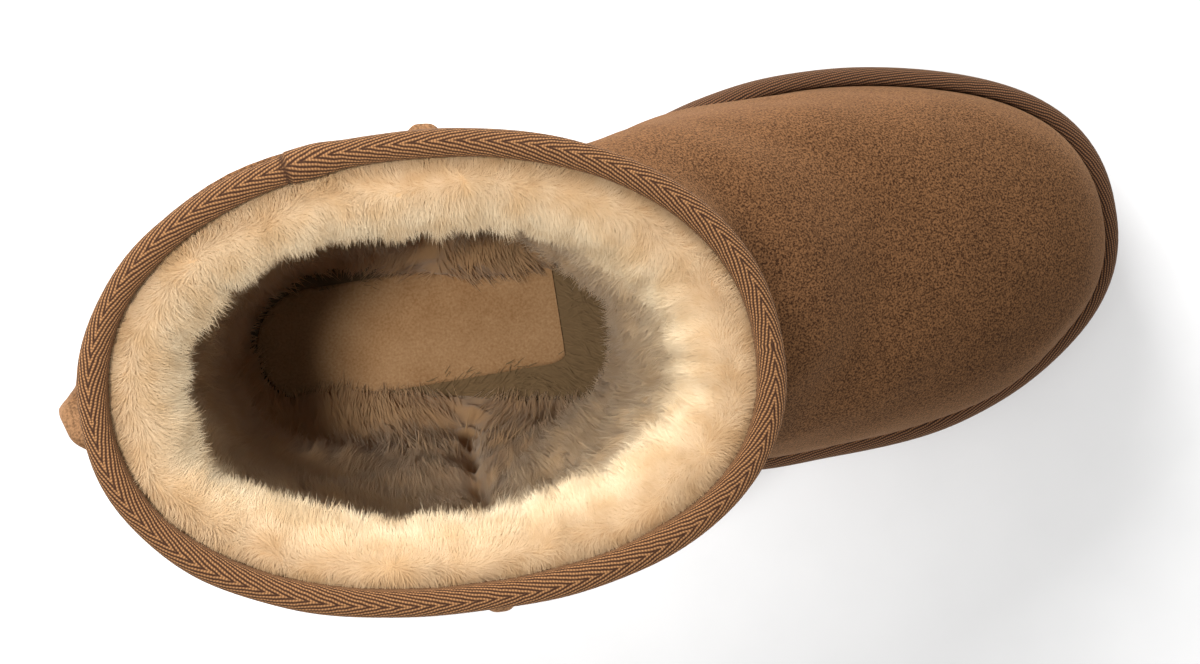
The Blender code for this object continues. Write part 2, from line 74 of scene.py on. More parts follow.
def startMaterial(name, roughness, sheen=0.0, sheenTint="#ffffff", sheenRoughness=0.5, specular=0.3):
    made = bpy.data.materials.new(name)
    made.use_nodes = True
    tree = made.node_tree
    shader = tree.nodes["Principled BSDF"]
    shader.inputs["Roughness"].default_value = roughness
    shader.inputs["Specular IOR Level"].default_value = specular
    shader.inputs["Sheen Weight"].default_value = sheen
    shader.inputs["Sheen Roughness"].default_value = sheenRoughness
    shader.inputs["Sheen Tint"].default_value = hexColour(sheenTint)
    return made, tree, shader


def smooth(share):
    share = np.clip(share, 0.0, 1.0)
    return share * share * (3 - 2 * share)


def lerp(a, b, share):
    return a + (b - a) * share


def bell(distance, width, power=2):
    return np.exp(-((distance / width) ** power))


def softNoise(points, size, seed, waves=14):
    # Smooth lumps of about the given size in mm, roughly from -1 to 1, the same on every run
    rng = np.random.default_rng(seed)
    total = np.zeros(points.shape[:-1])
    for _ in range(waves):
        direction = rng.normal(size=3)
        direction *= 2 * math.pi / (size * rng.uniform(0.8, 1.6)) / np.linalg.norm(direction)
        total += np.sin(points @ direction + rng.uniform(0, 2 * math.pi))
    return total / math.sqrt(waves)


def throughPoints(places, values, at):
    # Smooth curve through the values, with tangents taken from the neighbours, as in the CAD
    places, values = np.asarray(places, float), np.asarray(values, float)
    at = np.clip(at, places[0], places[-1])
    k = np.clip(np.searchsorted(places, at, side="right") - 1, 0, len(places) - 2)
    low = np.maximum(np.arange(len(places)) - 1, 0)
    high = np.minimum(np.arange(len(places)) + 1, len(places) - 1)
    slope = (values[high] - values[low]) / (places[high] - places[low])
    step = places[k + 1] - places[k]
    t = (at - places[k]) / step
    start = values[k] * (2 * t**3 - 3 * t**2 + 1) + slope[k] * step * (t**3 - 2 * t**2 + t)
    return start + values[k + 1] * (3 * t**2 - 2 * t**3) + slope[k + 1] * step * (t**3 - t**2)


# The last, in millimetres: the same lines as the CAD's own, with the heel at x = 0 until they are shifted

last = {
    "length": 253.4,
    "ballWidth": 98.4,
    "collarEdge": 210.4,
    "collarLength": 132.0,
    "collarWidth": 93.0,
    "gap": 0.3,
    "hide": 2.3,
    "wool": 9.8,
    "woolRoll": 3.4,
    "throatWool": 7.0,
    "throatRows": (6.5, 8.5),
    "throatStart": 0.45,
    "archFullness": 7.3,
    "archMiddle": 122.5,
    "archLength": 30.0,
    "bandHeight": 8.0,
    "bandWidth": 5.0,
    "tape": 1.3,
    "tapeDropOutside": 11.0,
    "tapeDropInside": 8.0,
    "pinch": 2.2,
    "sideSeamFromHeel": 66.0,
    "sideSeamWidth": 7.0,
    "sideSeamHeight": 1.9,
    "backSeamWidth": 10.0,
    "backSeamHeight": 3.4,
    "bindingEdge": 11.8,
    "insole": 8.0,
    "soleLip": 4.7,
}
shiftX = nodeBoxes["outsole"][0].x / mm + last["soleLip"]
shiftY = (nodeBoxes["insole_patch"][0].y + nodeBoxes["insole_patch"][1].y) / 2 / mm

footStations = np.array([
    # along, medial, lateral half-widths
    (0.00, 0.345, 0.345),
    (0.16, 0.350, 0.350),
    (0.34, 0.345, 0.398),
    (0.42, 0.355, 0.436),
    (0.50, 0.398, 0.472),
    (0.58, 0.458, 0.510),
    (0.67, 0.490, 0.512),
    (0.85, 0.495, 0.514),
    (1.00, 0.525, 0.466),
])
ringColumns = ("shaft", "back", "reach", "riseBack", "riseFront", "rear", "fore", "tip", "heel", "square", "lean",
               "sway")
ringTable = np.array([
    (0.00, 0.000, 0.996, 0.000, 0.000, 1.000, 1.000, 0.355, 0.178, 2.30, 0.000, 0.009),
    (0.00, -0.003, 0.997, 0.000, 0.000, 1.012, 1.000, 0.358, 0.178, 2.30, 0.004, 0.009),
    (0.00, -0.008, 0.989, 0.062, 0.072, 1.040, 0.992, 0.362, 0.180, 2.28, 0.010, 0.009),
    (0.04, -0.011, 0.978, 0.117, 0.136, 1.045, 0.962, 0.370, 0.184, 2.25, 0.012, 0.009),
    (0.10, -0.010, 0.943, 0.168, 0.191, 1.035, 0.925, 0.380, 0.196, 2.22, 0.012, 0.009),
    (0.20, -0.008, 0.904, 0.212, 0.237, 1.015, 0.905, 0.400, 0.222, 2.20, 0.010, 0.008),
    (0.31, -0.006, 0.849, 0.257, 0.281, 0.995, 0.900, 0.425, 0.268, 2.18, 0.008, 0.007),
    (0.45, -0.004, 0.815, 0.304, 0.338, 0.965, 0.905, 0.450, 0.335, 2.16, 0.005, 0.003),
    (0.60, -0.003, 0.786, 0.358, 0.406, 0.945, 0.915, 0.475, 0.405, 2.15, 0.003, -0.006),
    (0.76, -0.005, 0.806, 0.430, 0.490, 0.935, 0.935, 0.490, 0.460, 2.15, 0.002, -0.018),
    (0.90, -0.011, 0.886, 0.541, 0.596, 0.960, 0.960, 0.500, 0.490, 2.15, 0.002, -0.032),
    (1.00, -0.021, 0.983, 0.691, 0.729, 0.990, 0.990, 0.500, 0.500, 2.15, 0.002, -0.050),
    (1.00, -0.034, 1.050, 0.866, 0.875, 1.042, 1.042, 0.500, 0.500, 2.18, 0.001, -0.062),
    (1.00, -0.033, 1.042, 1.000, 1.000, 1.028, 1.028, 0.500, 0.500, 2.21, 0.001, -0.066),
])
lastRow = len(ringTable) - 1


def soleBottom(x, withArch=True):
    along = x / last["length"]
    spring = 7.0 * np.maximum(0.0, (along - 0.76) / 0.24) ** 1.8
    arch = 3.2 * smooth((along - 0.30) / 0.08) * smooth((0.57 - along) / 0.08)
    return spring + (arch if withArch else 0.0)


def soleTop(x):
    along = x / last["length"]
    return soleBottom(x, withArch=False) + lerp(22.0, 12.0, smooth((along - 0.20) / 0.42))


def ringRow(v):
    places = np.arange(lastRow + 1)
    return {name: float(throughPoints(places, ringTable[:, i], v)) for i, name in enumerate(ringColumns)}


def endRounding(share, row):
    heelClosing = np.clip(1 - share / row["heel"], 0.0, 1.0)
    tipClosing = np.clip((share - 1 + row["tip"]) / row["tip"], 0.0, 1.0)
    width = np.maximum(0.0, 1 - heelClosing**2.15) ** (1 / 2.15)
    return width * np.maximum(0.0, 1 - tipClosing ** row["square"]) ** (1 / row["square"])


def ringSide(v, side, steps=420):
    # Closely spaced points along one side of ring v, from the back to the front
    row = ringRow(v)
    start = row["back"] * last["length"]
    length = row["reach"] * lerp(last["length"], last["collarLength"], row["shaft"])
    share = (1 - np.cos(np.pi * np.arange(steps + 1) / steps)) / 2
    x = start + share * length
    column = 1 if side > 0 else 2
    foot = last["ballWidth"] * throughPoints(footStations[:, 0], footStations[:, column], x / last["length"])
    half = lerp(foot, last["collarWidth"] / 2, row["shaft"])
    half = half * lerp(row["rear"], row["fore"], smooth((x / last["length"] - 0.15) / 0.5))
    if side > 0:
        window = smooth((v - 0.8) / 1.6) * smooth((10.5 - v) / 3.5)
        half = half + last["archFullness"] * bell(x - last["archMiddle"], last["archLength"]) * window
    y = side * half * endRounding(share, row) + last["ballWidth"] * (row["sway"] * share**2 - row["lean"])
    floor = soleTop(x) + last["gap"] + min(v, 1.0) * (last["bandHeight"] + last["gap"])
    rise = lerp(row["riseBack"], row["riseFront"], smooth(share)) if v > 1 else 0.0
    return np.stack([x, y, floor + rise * (last["collarEdge"] - floor)], axis=1)


def sideTargets(arc, x, counts):
    # Distances along a side: across the back seam, to the side seam, over it and on to the front
    nBack, nRear, nSeam, nFore = counts
    toSeam = np.interp(last["sideSeamFromHeel"], x, arc)
    ridge, half = last["sideSeamWidth"] * 0.62, last["backSeamWidth"] * 0.62
    parts = [
        np.linspace(0, half, nBack + 1),
        np.linspace(half, toSeam - ridge, nRear + 1)[1:],
        np.linspace(toSeam - ridge, toSeam + ridge, nSeam + 1)[1:],
        np.linspace(toSeam + ridge, arc[-1], nFore + 1)[1:],
    ]
    return np.concatenate(parts), toSeam


def lastGrid(places, counts):
    # Rings of the plain last with their outward directions, and each point's distance from the seams
    rings, seams, backs, around = [], [], [], []
    for v in places:
        loop, seam, back = [], [], []
        for side in (1, -1):
            points = ringSide(v, side)
            arc = np.concatenate([[0], np.cumsum(np.linalg.norm(np.diff(points[:, :2], axis=0), axis=1))])
            targets, toSeam = sideTargets(arc, points[:, 0], counts)
            placed = np.stack([np.interp(targets, arc, points[:, k]) for k in range(3)], axis=1)
            cut = slice(None) if side > 0 else slice(-2, 0, -1)
            loop.append(placed[cut])
            seam.append((targets - toSeam)[cut])
            back.append(side * targets[cut])
        loop = np.concatenate(loop)
        rings.append(loop)
        seams.append(np.concatenate(seam))
        backs.append(np.concatenate(back))
        steps = np.linalg.norm(np.roll(loop, -1, axis=0) - loop, axis=1)
        around.append(np.concatenate([[0], np.cumsum(steps)]))
    plain = np.array(rings)
    ahead, behind = np.roll(plain, -1, axis=1) - plain, plain - np.roll(plain, 1, axis=1)
    evenness = np.linalg.norm(behind, axis=2, keepdims=True) / np.linalg.norm(ahead, axis=2, keepdims=True)
    tangent = ahead * evenness + behind / evenness
    up = np.gradient(plain, axis=0)
    normal = np.cross(up, tangent)
    normal /= np.linalg.norm(normal, axis=2, keepdims=True)
    places = np.asarray(places)
    depth = last["collarEdge"] - plain[:, 0, 2]
    flat = np.maximum(1 - smooth((places - 1) / 3), 1 - smooth((depth - last["bindingEdge"]) / 14))
    normal[:, :, 2] *= (1 - flat)[:, None]
    normal /= np.linalg.norm(normal, axis=2, keepdims=True)
    pinch = last["pinch"] * (1 - smooth((depth - last["bindingEdge"]) / 3))
    sideOf = np.sign(np.array(backs))
    return {
        "plain": plain, "normal": normal, "depth": depth, "v": places, "pinch": pinch,
        "seam": np.array(seams), "back": np.array(backs), "around": np.array(around), "side": sideOf,
        "turn": np.linspace(0, 1, plain.shape[1], endpoint=False),
    }


depthPlaces = np.linspace(lastRow - 3, lastRow, 400)
depthTable = np.array([last["collarEdge"] - ringSide(v, 1, steps=8)[0, 2] for v in depthPlaces])


def placeAtDepth(depth):
    # v of the ring whose back lies this far under the collar's edge
    return np.interp(-np.asarray(depth, float), -depthTable, depthPlaces)


def movedOut(grid, distance):
    distance = np.broadcast_to(distance, grid["plain"].shape[:2]) - grid["pinch"][:, None]
    return grid["plain"] + grid["normal"] * distance[:, :, None]


def placed(points):
    return (points + np.array([shiftX, shiftY, 0.0])) * mm


def meshPiece(name, points, faces, finish, attributes=None, uv=None, sharpAngle=None):
    # A smooth-shaded object from mm points, sharp over sharpAngle degrees where one is given; attributes are floats
    # or vectors per point, uv is (faces, corners, 2) in mm
    mesh = bpy.data.meshes.new(name)
    mesh.from_pydata(placed(points).tolist(), [], faces if isinstance(faces, list) else faces.tolist())
    mesh.shade_smooth()
    if sharpAngle:
        mesh.set_sharp_from_angle(angle=math.radians(sharpAngle))
    mesh.materials.append(finish)
    for key, values in (attributes or {}).items():
        values = np.asarray(values, np.float32)
        kind, slot = ("FLOAT", "value") if values.ndim == 1 else ("FLOAT_VECTOR", "vector")
        mesh.attributes.new(key, kind, "POINT").data.foreach_set(slot, values.ravel())
    if uv is not None:
        mesh.uv_layers.new(name="tapeMap").data.foreach_set("uv", np.asarray(uv, np.float32).ravel())
    obj = bpy.data.objects.new(name, mesh)
    scene.collection.objects.link(obj)
    return obj


def sweptFaces(rows, count, closed=True):
    # Quads between rings that run up outside and down inside, so that they all face out
    i = np.arange(rows if closed else rows - 1)[:, None]
    j = np.arange(count)[None, :]
    a, b = i * count, ((i + 1) % rows) * count
    k = (j + 1) % count
    return np.stack([a + j, b + j, b + k, a + k], axis=-1).reshape(-1, 4)


def sweptMap(along, across):
    # UVs for sweptFaces: along has one column more than the rings, across one row more
    rows = across.shape[0] - 1
    ahead = np.roll(along, -1, axis=0)[:rows]
    u = np.stack([along[:rows, :-1], ahead[:, :-1], ahead[:, 1:], along[:rows, 1:]], -1)
    v = np.stack([across[:-1], across[1:], across[1:], across[:-1]], -1)
    return np.stack([u, np.broadcast_to(v, u.shape)], -1).reshape(-1, 4, 2)


def finishPiece(obj, slotName, *nodes):
    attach(obj, "root")
    if nodes:
        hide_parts(*nodes)
    return obj


# Camera: the photograph's eye, about 0.65 m above the floor over the collar, the toe turned 9 degrees up

eye = {
    "place": (59.0, 25.5, 648.0),  # mm on the last
    "focal": 2260.0,          # in pixels of the 1200 wide frame
    "nadir": (405.0, 236.0),  # where the vertical through the eye meets the picture
    "middle": (600.0, 332.0),
    "turn": 9.0,
    "sensor": 36.0,
    "frameWidth": 1200.0,
}


def makeCamera():
    down = np.array([(eye["nadir"][0] - eye["middle"][0]) / eye["focal"],
                     (eye["nadir"][1] - eye["middle"][1]) / eye["focal"], 1.0])
    down /= np.linalg.norm(down)
    angle = math.radians(eye["turn"])
    toe = np.array([math.cos(angle), -math.sin(angle), 0.0])
    toe -= np.dot(toe, down) * down
    toe /= np.linalg.norm(toe)
    across = np.cross(-down, toe)
    world = np.stack([toe, across, -down], axis=1)  # rows: picture right, picture down, forward
    camera = bpy.data.cameras.new("camera")
    camera.sensor_fit = "HORIZONTAL"
    camera.sensor_width = eye["sensor"]
    camera.lens = eye["sensor"] * eye["focal"] / eye["frameWidth"]
    camera.clip_start = 0.01
    obj = bpy.data.objects.new("camera", camera)
    turn = Matrix([world[0], -world[1], -world[2]]).transposed().to_4x4()
    obj.matrix_world = Matrix.Translation(Vector(placed(np.array(eye["place"])))) @ turn
    scene.collection.objects.link(obj)
    scene.camera = obj


makeCamera()
print("camera set")


# Floor and light

studio = {
    "worldStrength": 0.85,
    "softBox": {"place": (-0.56, 1.24, 0.70), "aim": (-0.02, 0.0, 0.08), "size": 0.8, "watts": 26.0},
    # a second, narrow lamp over the opening, because the wool swallows most light
    "overOpening": {"place": (-0.27, 0.07, 1.38), "aim": (-0.068, 0.0, 0.14), "size": 0.08, "watts": 60.0,
                    "angle": 10.0, "blend": 0.55},
}


def makeStudio():
    bpy.ops.mesh.primitive_plane_add(size=8.0, location=(0, 0, 0))
    floor = bpy.context.object
    floor.name = "studioFloor"
    # Matt white studio paper, a little fibrous
    paper, tree, shader = startMaterial("studioPaper", roughness=0.9, specular=0.1)
    coords = addNode(tree, "ShaderNodeTexCoord")
    fibre = addNode(tree, "ShaderNodeTexNoise", {"Vector": (coords, "Object"), "Scale": 60.0, "Detail": 3.0})
    tone = addNode(tree, "ShaderNodeMix", {"Factor": fibre, 6: hexColour("#f7f7f7"), 7: hexColour("#fdfdfd")},
                   data_type="RGBA")
    tree.links.new(tone.outputs[2], shader.inputs["Base Color"])
    floor.data.materials.append(paper)
    world = bpy.data.worlds.new("softRoom")
    world.use_nodes = True
    world.node_tree.nodes["Background"].inputs["Color"].default_value = (1.0, 1.0, 1.0, 1.0)
    world.node_tree.nodes["Background"].inputs["Strength"].default_value = studio["worldStrength"]
    scene.world = world
    for name, kind in (("softBox", "AREA"), ("overOpening", "SPOT")):
        values = studio[name]
        lamp = bpy.data.lights.new(name, kind)
        lamp.energy = values["watts"]
        if kind == "AREA":
            lamp.size = values["size"]
        else:
            lamp.shadow_soft_size = values["size"]
            lamp.spot_size = math.radians(values["angle"])
            lamp.spot_blend = values["blend"]
        key = bpy.data.objects.new(name, lamp)
        key.location = values["place"]
        key.rotation_euler = (Vector(values["aim"]) - Vector(values["place"])).to_track_quat("-Z", "Y").to_euler()
        scene.collection.objects.link(key)
    scene.view_settings.view_transform = "Standard"
    scene.view_settings.look = "None"


makeStudio()
print("studio lit")


# Finishes


def chestnutSuede():
    # Suede: sheepskin, sanded on the flesh side: no gloss, a soft sheen, a short nap that catches light in flecks
    made, tree, shader = startMaterial("chestnutSuede", 0.95, sheen=0.38, sheenTint="#c79a72", sheenRoughness=0.4,
                                       specular=0.1)
    coords = addNode(tree, "ShaderNodeTexCoord")
    nap = addNode(tree, "ShaderNodeTexNoise",
                  {"Vector": (coords, "Object"), "Scale": 2000.0, "Detail": 2.0, "Roughness": 0.55})
    handling = addNode(tree, "ShaderNodeTexNoise",
                       {"Vector": (coords, "Object"), "Scale": 48.0, "Detail": 3.0, "Roughness": 0.5})
    napTone = addNode(tree, "ShaderNodeValToRGB", {"Fac": nap})
    for stop, (at, colour) in zip(napTone.color_ramp.elements, ((0.36, "#321d0e"), (0.64, "#765234"))):
        stop.position, stop.color = at, hexColour(colour)
    shade = addNode(tree, "ShaderNodeMapRange",
                    {"Value": handling, "From Min": 0.3, "From Max": 0.7, "To Min": 0.92, "To Max": 1.08})
    # painted light: the suede lighter where it faces the medial side and darker where it faces the lateral side
    paintedSideLight = addNode(tree, "ShaderNodeAttribute", attribute_name="paintedSideLight")
    lean = addNode(tree, "ShaderNodeMath", {0: (paintedSideLight, "Fac"), 1: 0.30, 2: shade}, operation="MULTIPLY_ADD")
    tone = addNode(tree, "ShaderNodeVectorMath", {0: napTone, "Scale": lean}, operation="SCALE")
    rubbed = addNode(tree, "ShaderNodeAttribute", attribute_name="rubbed")
    worn = addNode(tree, "ShaderNodeMath", {0: (rubbed, "Fac"), 1: nap}, operation="MULTIPLY")
    wear = addNode(tree, "ShaderNodeMath", {0: worn, 1: 1.3}, operation="MULTIPLY")
    final = addNode(tree, "ShaderNodeMix", {"Factor": wear, 6: tone, 7: hexColour("#a9805c")}, data_type="RGBA")
    tree.links.new(final.outputs[2], shader.inputs["Base Color"])
    bump = addNode(tree, "ShaderNodeBump", {"Height": nap, "Strength": 0.6, "Distance": 0.45 * mm})
    tree.links.new(bump.outputs[0], shader.inputs["Normal"])
    return made


def twillTape(name, dark, light, linePeriod, across, pick, chevron):
    # Cotton twill tape: matt; the warp floats over the weft in slanting lines, lit cords between dark ones
    made, tree, shader = startMaterial(name, 0.85, sheen=0.15, sheenTint="#d8b08a", specular=0.2)
    uv = addNode(tree, "ShaderNodeUVMap", uv_map="tapeMap")
    parts = addNode(tree, "ShaderNodeSeparateXYZ", {0: uv})
    wobble = addNode(tree, "ShaderNodeTexNoise", {"Vector": uv, "Scale": 0.35, "Detail": 1.0}, noise_dimensions="2D")
    drift = addNode(tree, "ShaderNodeMath", {0: wobble, 1: 0.5}, operation="MULTIPLY")
    side = addNode(tree, "ShaderNodeMath", {0: (parts, 1)}, operation="ABSOLUTE") if chevron else (parts, 1)
    alongPhase = addNode(tree, "ShaderNodeMath", {0: (parts, 0), 1: linePeriod}, operation="DIVIDE")
    acrossPhase = addNode(tree, "ShaderNodeMath", {0: side, 1: across}, operation="DIVIDE")
    slant = addNode(tree, "ShaderNodeMath", {0: alongPhase, 1: acrossPhase}, operation="SUBTRACT")
    phase = addNode(tree, "ShaderNodeMath", {0: slant, 1: drift}, operation="ADD")
    lineAngle = addNode(tree, "ShaderNodeMath", {0: phase, 1: 2 * math.pi}, operation="MULTIPLY")
    lineWave = addNode(tree, "ShaderNodeMath", {0: lineAngle}, operation="COSINE")
    cord = addNode(tree, "ShaderNodeMapRange", {"Value": lineWave, "From Min": -0.8, "From Max": 1.0},
                   interpolation_type="SMOOTHSTEP")
    halfUp = addNode(tree, "ShaderNodeMath", {0: phase, 1: 0.5}, operation="ADD")
    lineNumber = addNode(tree, "ShaderNodeMath", {0: halfUp}, operation="FLOOR")
    pickPhase = addNode(tree, "ShaderNodeMath", {0: (parts, 0), 1: 1 / pick, 2: 0.0}, operation="MULTIPLY_ADD")
    stagger = addNode(tree, "ShaderNodeMath", {0: lineNumber, 1: 0.5, 2: pickPhase}, operation="MULTIPLY_ADD")
    pickAngle = addNode(tree, "ShaderNodeMath", {0: stagger, 1: 2 * math.pi}, operation="MULTIPLY")
    pickWave = addNode(tree, "ShaderNodeMath", {0: pickAngle}, operation="COSINE")
    pickRise = addNode(tree, "ShaderNodeMapRange",
                       {"Value": pickWave, "From Min": -1.0, "From Max": 1.0, "To Min": 0.35, "To Max": 1.0})
    weave = addNode(tree, "ShaderNodeMath", {0: cord, 1: pickRise}, operation="MULTIPLY")
    fluff = addNode(tree, "ShaderNodeTexNoise", {"Vector": uv, "Scale": 2.2, "Detail": 2.0}, noise_dimensions="2D")
    mixed = addNode(tree, "ShaderNodeMath", {0: fluff, 1: 0.25, 2: weave}, operation="MULTIPLY_ADD")
    tone = addNode(tree, "ShaderNodeValToRGB", {"Fac": mixed})
    for stop, (at, colour) in zip(tone.color_ramp.elements, ((0.12, dark), (0.98, light))):
        stop.position, stop.color = at, hexColour(colour)
    # painted shade: darker at the foot of the lapped joint's step
    paintedLapShade = addNode(tree, "ShaderNodeAttribute", attribute_name="paintedLapShade")
    final = addNode(tree, "ShaderNodeMix", {"Factor": (paintedLapShade, "Fac"), 6: tone, 7: hexColour(dark)}, data_type="RGBA")
    tree.links.new(final.outputs[2], shader.inputs["Base Color"])
    bump = addNode(tree, "ShaderNodeBump", {"Height": weave, "Strength": 0.7, "Distance": 0.35 * mm})
    tree.links.new(bump.outputs[0], shader.inputs["Normal"])
    return made


def sheepWool(name, root, tip, mottle, deep):
    # Sheep's wool: cream, cut and combed, no gloss; strands yellower and darker at the root: painted shade among them
    made, tree, shader = startMaterial(name, 0.9, sheen=0.3, sheenTint="#fff2dc", sheenRoughness=0.6, specular=0.1)
    coords = addNode(tree, "ShaderNodeTexCoord")
    along = addNode(tree, "ShaderNodeAttribute", attribute_name="tip")
    strand = addNode(tree, "ShaderNodeAttribute", attribute_name="tone")
    locks = addNode(tree, "ShaderNodeTexNoise",
                    {"Vector": (coords, "Object"), "Scale": 150.0, "Detail": 3.0, "Roughness": 0.55})
    spread = addNode(tree, "ShaderNodeMath", {0: (strand, "Fac"), 1: 0.35}, operation="MULTIPLY")
    height = addNode(tree, "ShaderNodeMath", {0: (along, "Fac"), 1: 0.75, 2: spread}, operation="MULTIPLY_ADD")
    tone = addNode(tree, "ShaderNodeValToRGB", {"Fac": height})
    for stop, (at, colour) in zip(tone.color_ramp.elements, ((0.0, root), (0.8, tip))):
        stop.position, stop.color = at, hexColour(colour)
    shade = addNode(tree, "ShaderNodeMapRange",
                    {"Value": locks, "From Min": 0.35, "From Max": 0.62, "To Min": 0.6, "To Max": 0.0})
    mottled = addNode(tree, "ShaderNodeMix", {"Factor": shade, 6: tone, 7: hexColour(mottle)}, data_type="RGBA")
    tapeSideBrown = addNode(tree, "ShaderNodeAttribute", attribute_name="tapeSideBrown")
    # browner with depth in the shaft: fitted to the photo, where part of it is shade
    place = addNode(tree, "ShaderNodeSeparateXYZ", {"Vector": (coords, "Object")})
    # painted shade: lower in the boot the wool turns toward the deep colour
    low = addNode(tree, "ShaderNodeMapRange",
                  {"Value": (place, "Z"), "From Min": 0.11, "From Max": 0.204, "To Min": 0.85, "To Max": 0.0})
    # the larger of the browner rows by the tape and the painted shade with depth, toward deep
    tapeBrownAndDepthShade = addNode(tree, "ShaderNodeMath", {0: (tapeSideBrown, "Fac"), 1: low}, operation="MAXIMUM")
    final = addNode(tree, "ShaderNodeMix", {"Factor": tapeBrownAndDepthShade, 6: (mottled, 2), 7: hexColour(deep)}, data_type="RGBA")
    tree.links.new(final.outputs[2], shader.inputs["Base Color"])
    return made


suede = chestnutSuede()
collarTwill = twillTape("collarTwill", "#341c0d", "#a5764c", 3.1, 0.80, 0.62, True)
soleTwill = twillTape("soleTwill", "#23130a", "#835a3b", 4.4, -0.8, 0.7, False)
wool = sheepWool("creamWool", "#a17d50", "#e9d5b2", "#c7a576", "#b78856")
# a darker copy of the cream wool for the footbed: painted shade down in the foot
shadedFootbedWool = sheepWool("shadedFootbedWool", "#5a4327", "#9a7c56", "#7a6040", "#6b5438")
print("finishes mixed")


# Upper: the hide, one wall, with its puff under the tape, raised seams and soft creases

creases = [
    # turn from the front (minus is medial), height, half length, width, depth, slope, bow
    (0.00, 96.0, 0.17, 5.5, 2.4, 0.0, -10.0),
    (0.02, 76.0, 0.13, 4.5, 1.5, 20.0, -6.0),
    (-0.02, 118.0, 0.13, 6.0, 1.5, -15.0, -7.0),
    (-0.27, 104.0, 0.10, 5.5, 1.8, 60.0, 3.0),
    (-0.30, 84.0, 0.09, 4.5, 1.2, 40.0, 2.0),
    (0.27, 98.0, 0.12, 5.5, 2.0, -50.0, 3.0),
    (0.31, 120.0, 0.09, 6.0, 1.2, -30.0, 2.0),
    (0.44, 98.0, 0.06, 5.0, 1.2, 0.0, 2.0),
    (-0.43, 110.0, 0.07, 5.5, 1.1, 20.0, 2.0),
    (0.12, 150.0, 0.10, 13.0, 1.3, 30.0, 0.0),
    (-0.14, 160.0, 0.10, 12.0, 1.2, -30.0, 0.0),
]
upperSizes = {
    "counts": (12, 20, 16, 92),
    "rings": 150,
    # turn from the back (plus is medial) and how far the hide stands out or is pulled in under the tape
    "puffAt": ((-0.5, 0.3), (-0.42, 0.2), (-0.30, 0.4), (-0.14, 0.0), (-0.105, -0.6), (-0.07, 0.0), (-0.03, 0.6),
               (0.0, 2.2), (0.015, 3.0), (0.032, 2.8), (0.045, 1.8), (0.056, 0.6), (0.072, 0.0), (0.086, 0.2),
               (0.098, -0.4), (0.118, -1.5), (0.15, -1.8), (0.22, -1.7), (0.30, -1.6), (0.36, -1.2), (0.42, -0.4),
               (0.47, 0.2), (0.5, 0.3)),
    "topDepth": 30.0,      # the rings lie closer above this depth
    "topRings": 40,
    "seamHalf": 3.2,       # half the flat width of a side seam's ridge
    "backAside": 1.2,      # how far the back seam's ridge lies to the lateral side
    "puffDepth": 24.0,
    "puffWidth": 10.0,
    "pullWidth": 20.0,
}


def creaseRelief(grid):
    z, turn = grid["plain"][:, :, 2], grid["turn"][None, :] - 0.5
    relief = np.zeros(z.shape)
    for at, height, half, width, depth, slope, bow in creases:
        away = (turn - at + 0.5) % 1.0 - 0.5
        t = away / half
        window = np.clip(1 - t * t, 0, 1) ** 2
        d = (z - height - slope * away - bow * t * t) / width
        relief += depth * window * (0.42 * bell(np.abs(d) - 1.7, 0.9) - bell(d, 1.0))
    return relief * smooth((grid["v"] - 1.2) / 1.5)[:, None]


def seamRelief(grid):
    above = smooth((grid["v"] - 1.0) / 0.8)
    under = smooth((grid["depth"] - last["bindingEdge"]) / 2.0)
    taper = lerp(0.45, 1.0, smooth((grid["v"] - 7.0) / 5.0))
    crown = (1 + 0.12 * smooth((50.0 - grid["depth"]) / 30.0))[:, None]
    side = last["sideSeamHeight"] * bell(grid["seam"], upperSizes["seamHalf"], 4) * crown
    groove = 0.5 * bell(np.abs(grid["seam"]) - 4.4, 0.8)
    back = last["backSeamHeight"] * taper[:, None] * bell(grid["back"] + upperSizes["backAside"], 4.8, 4)
    return (above * under)[:, None] * (side - groove + back)


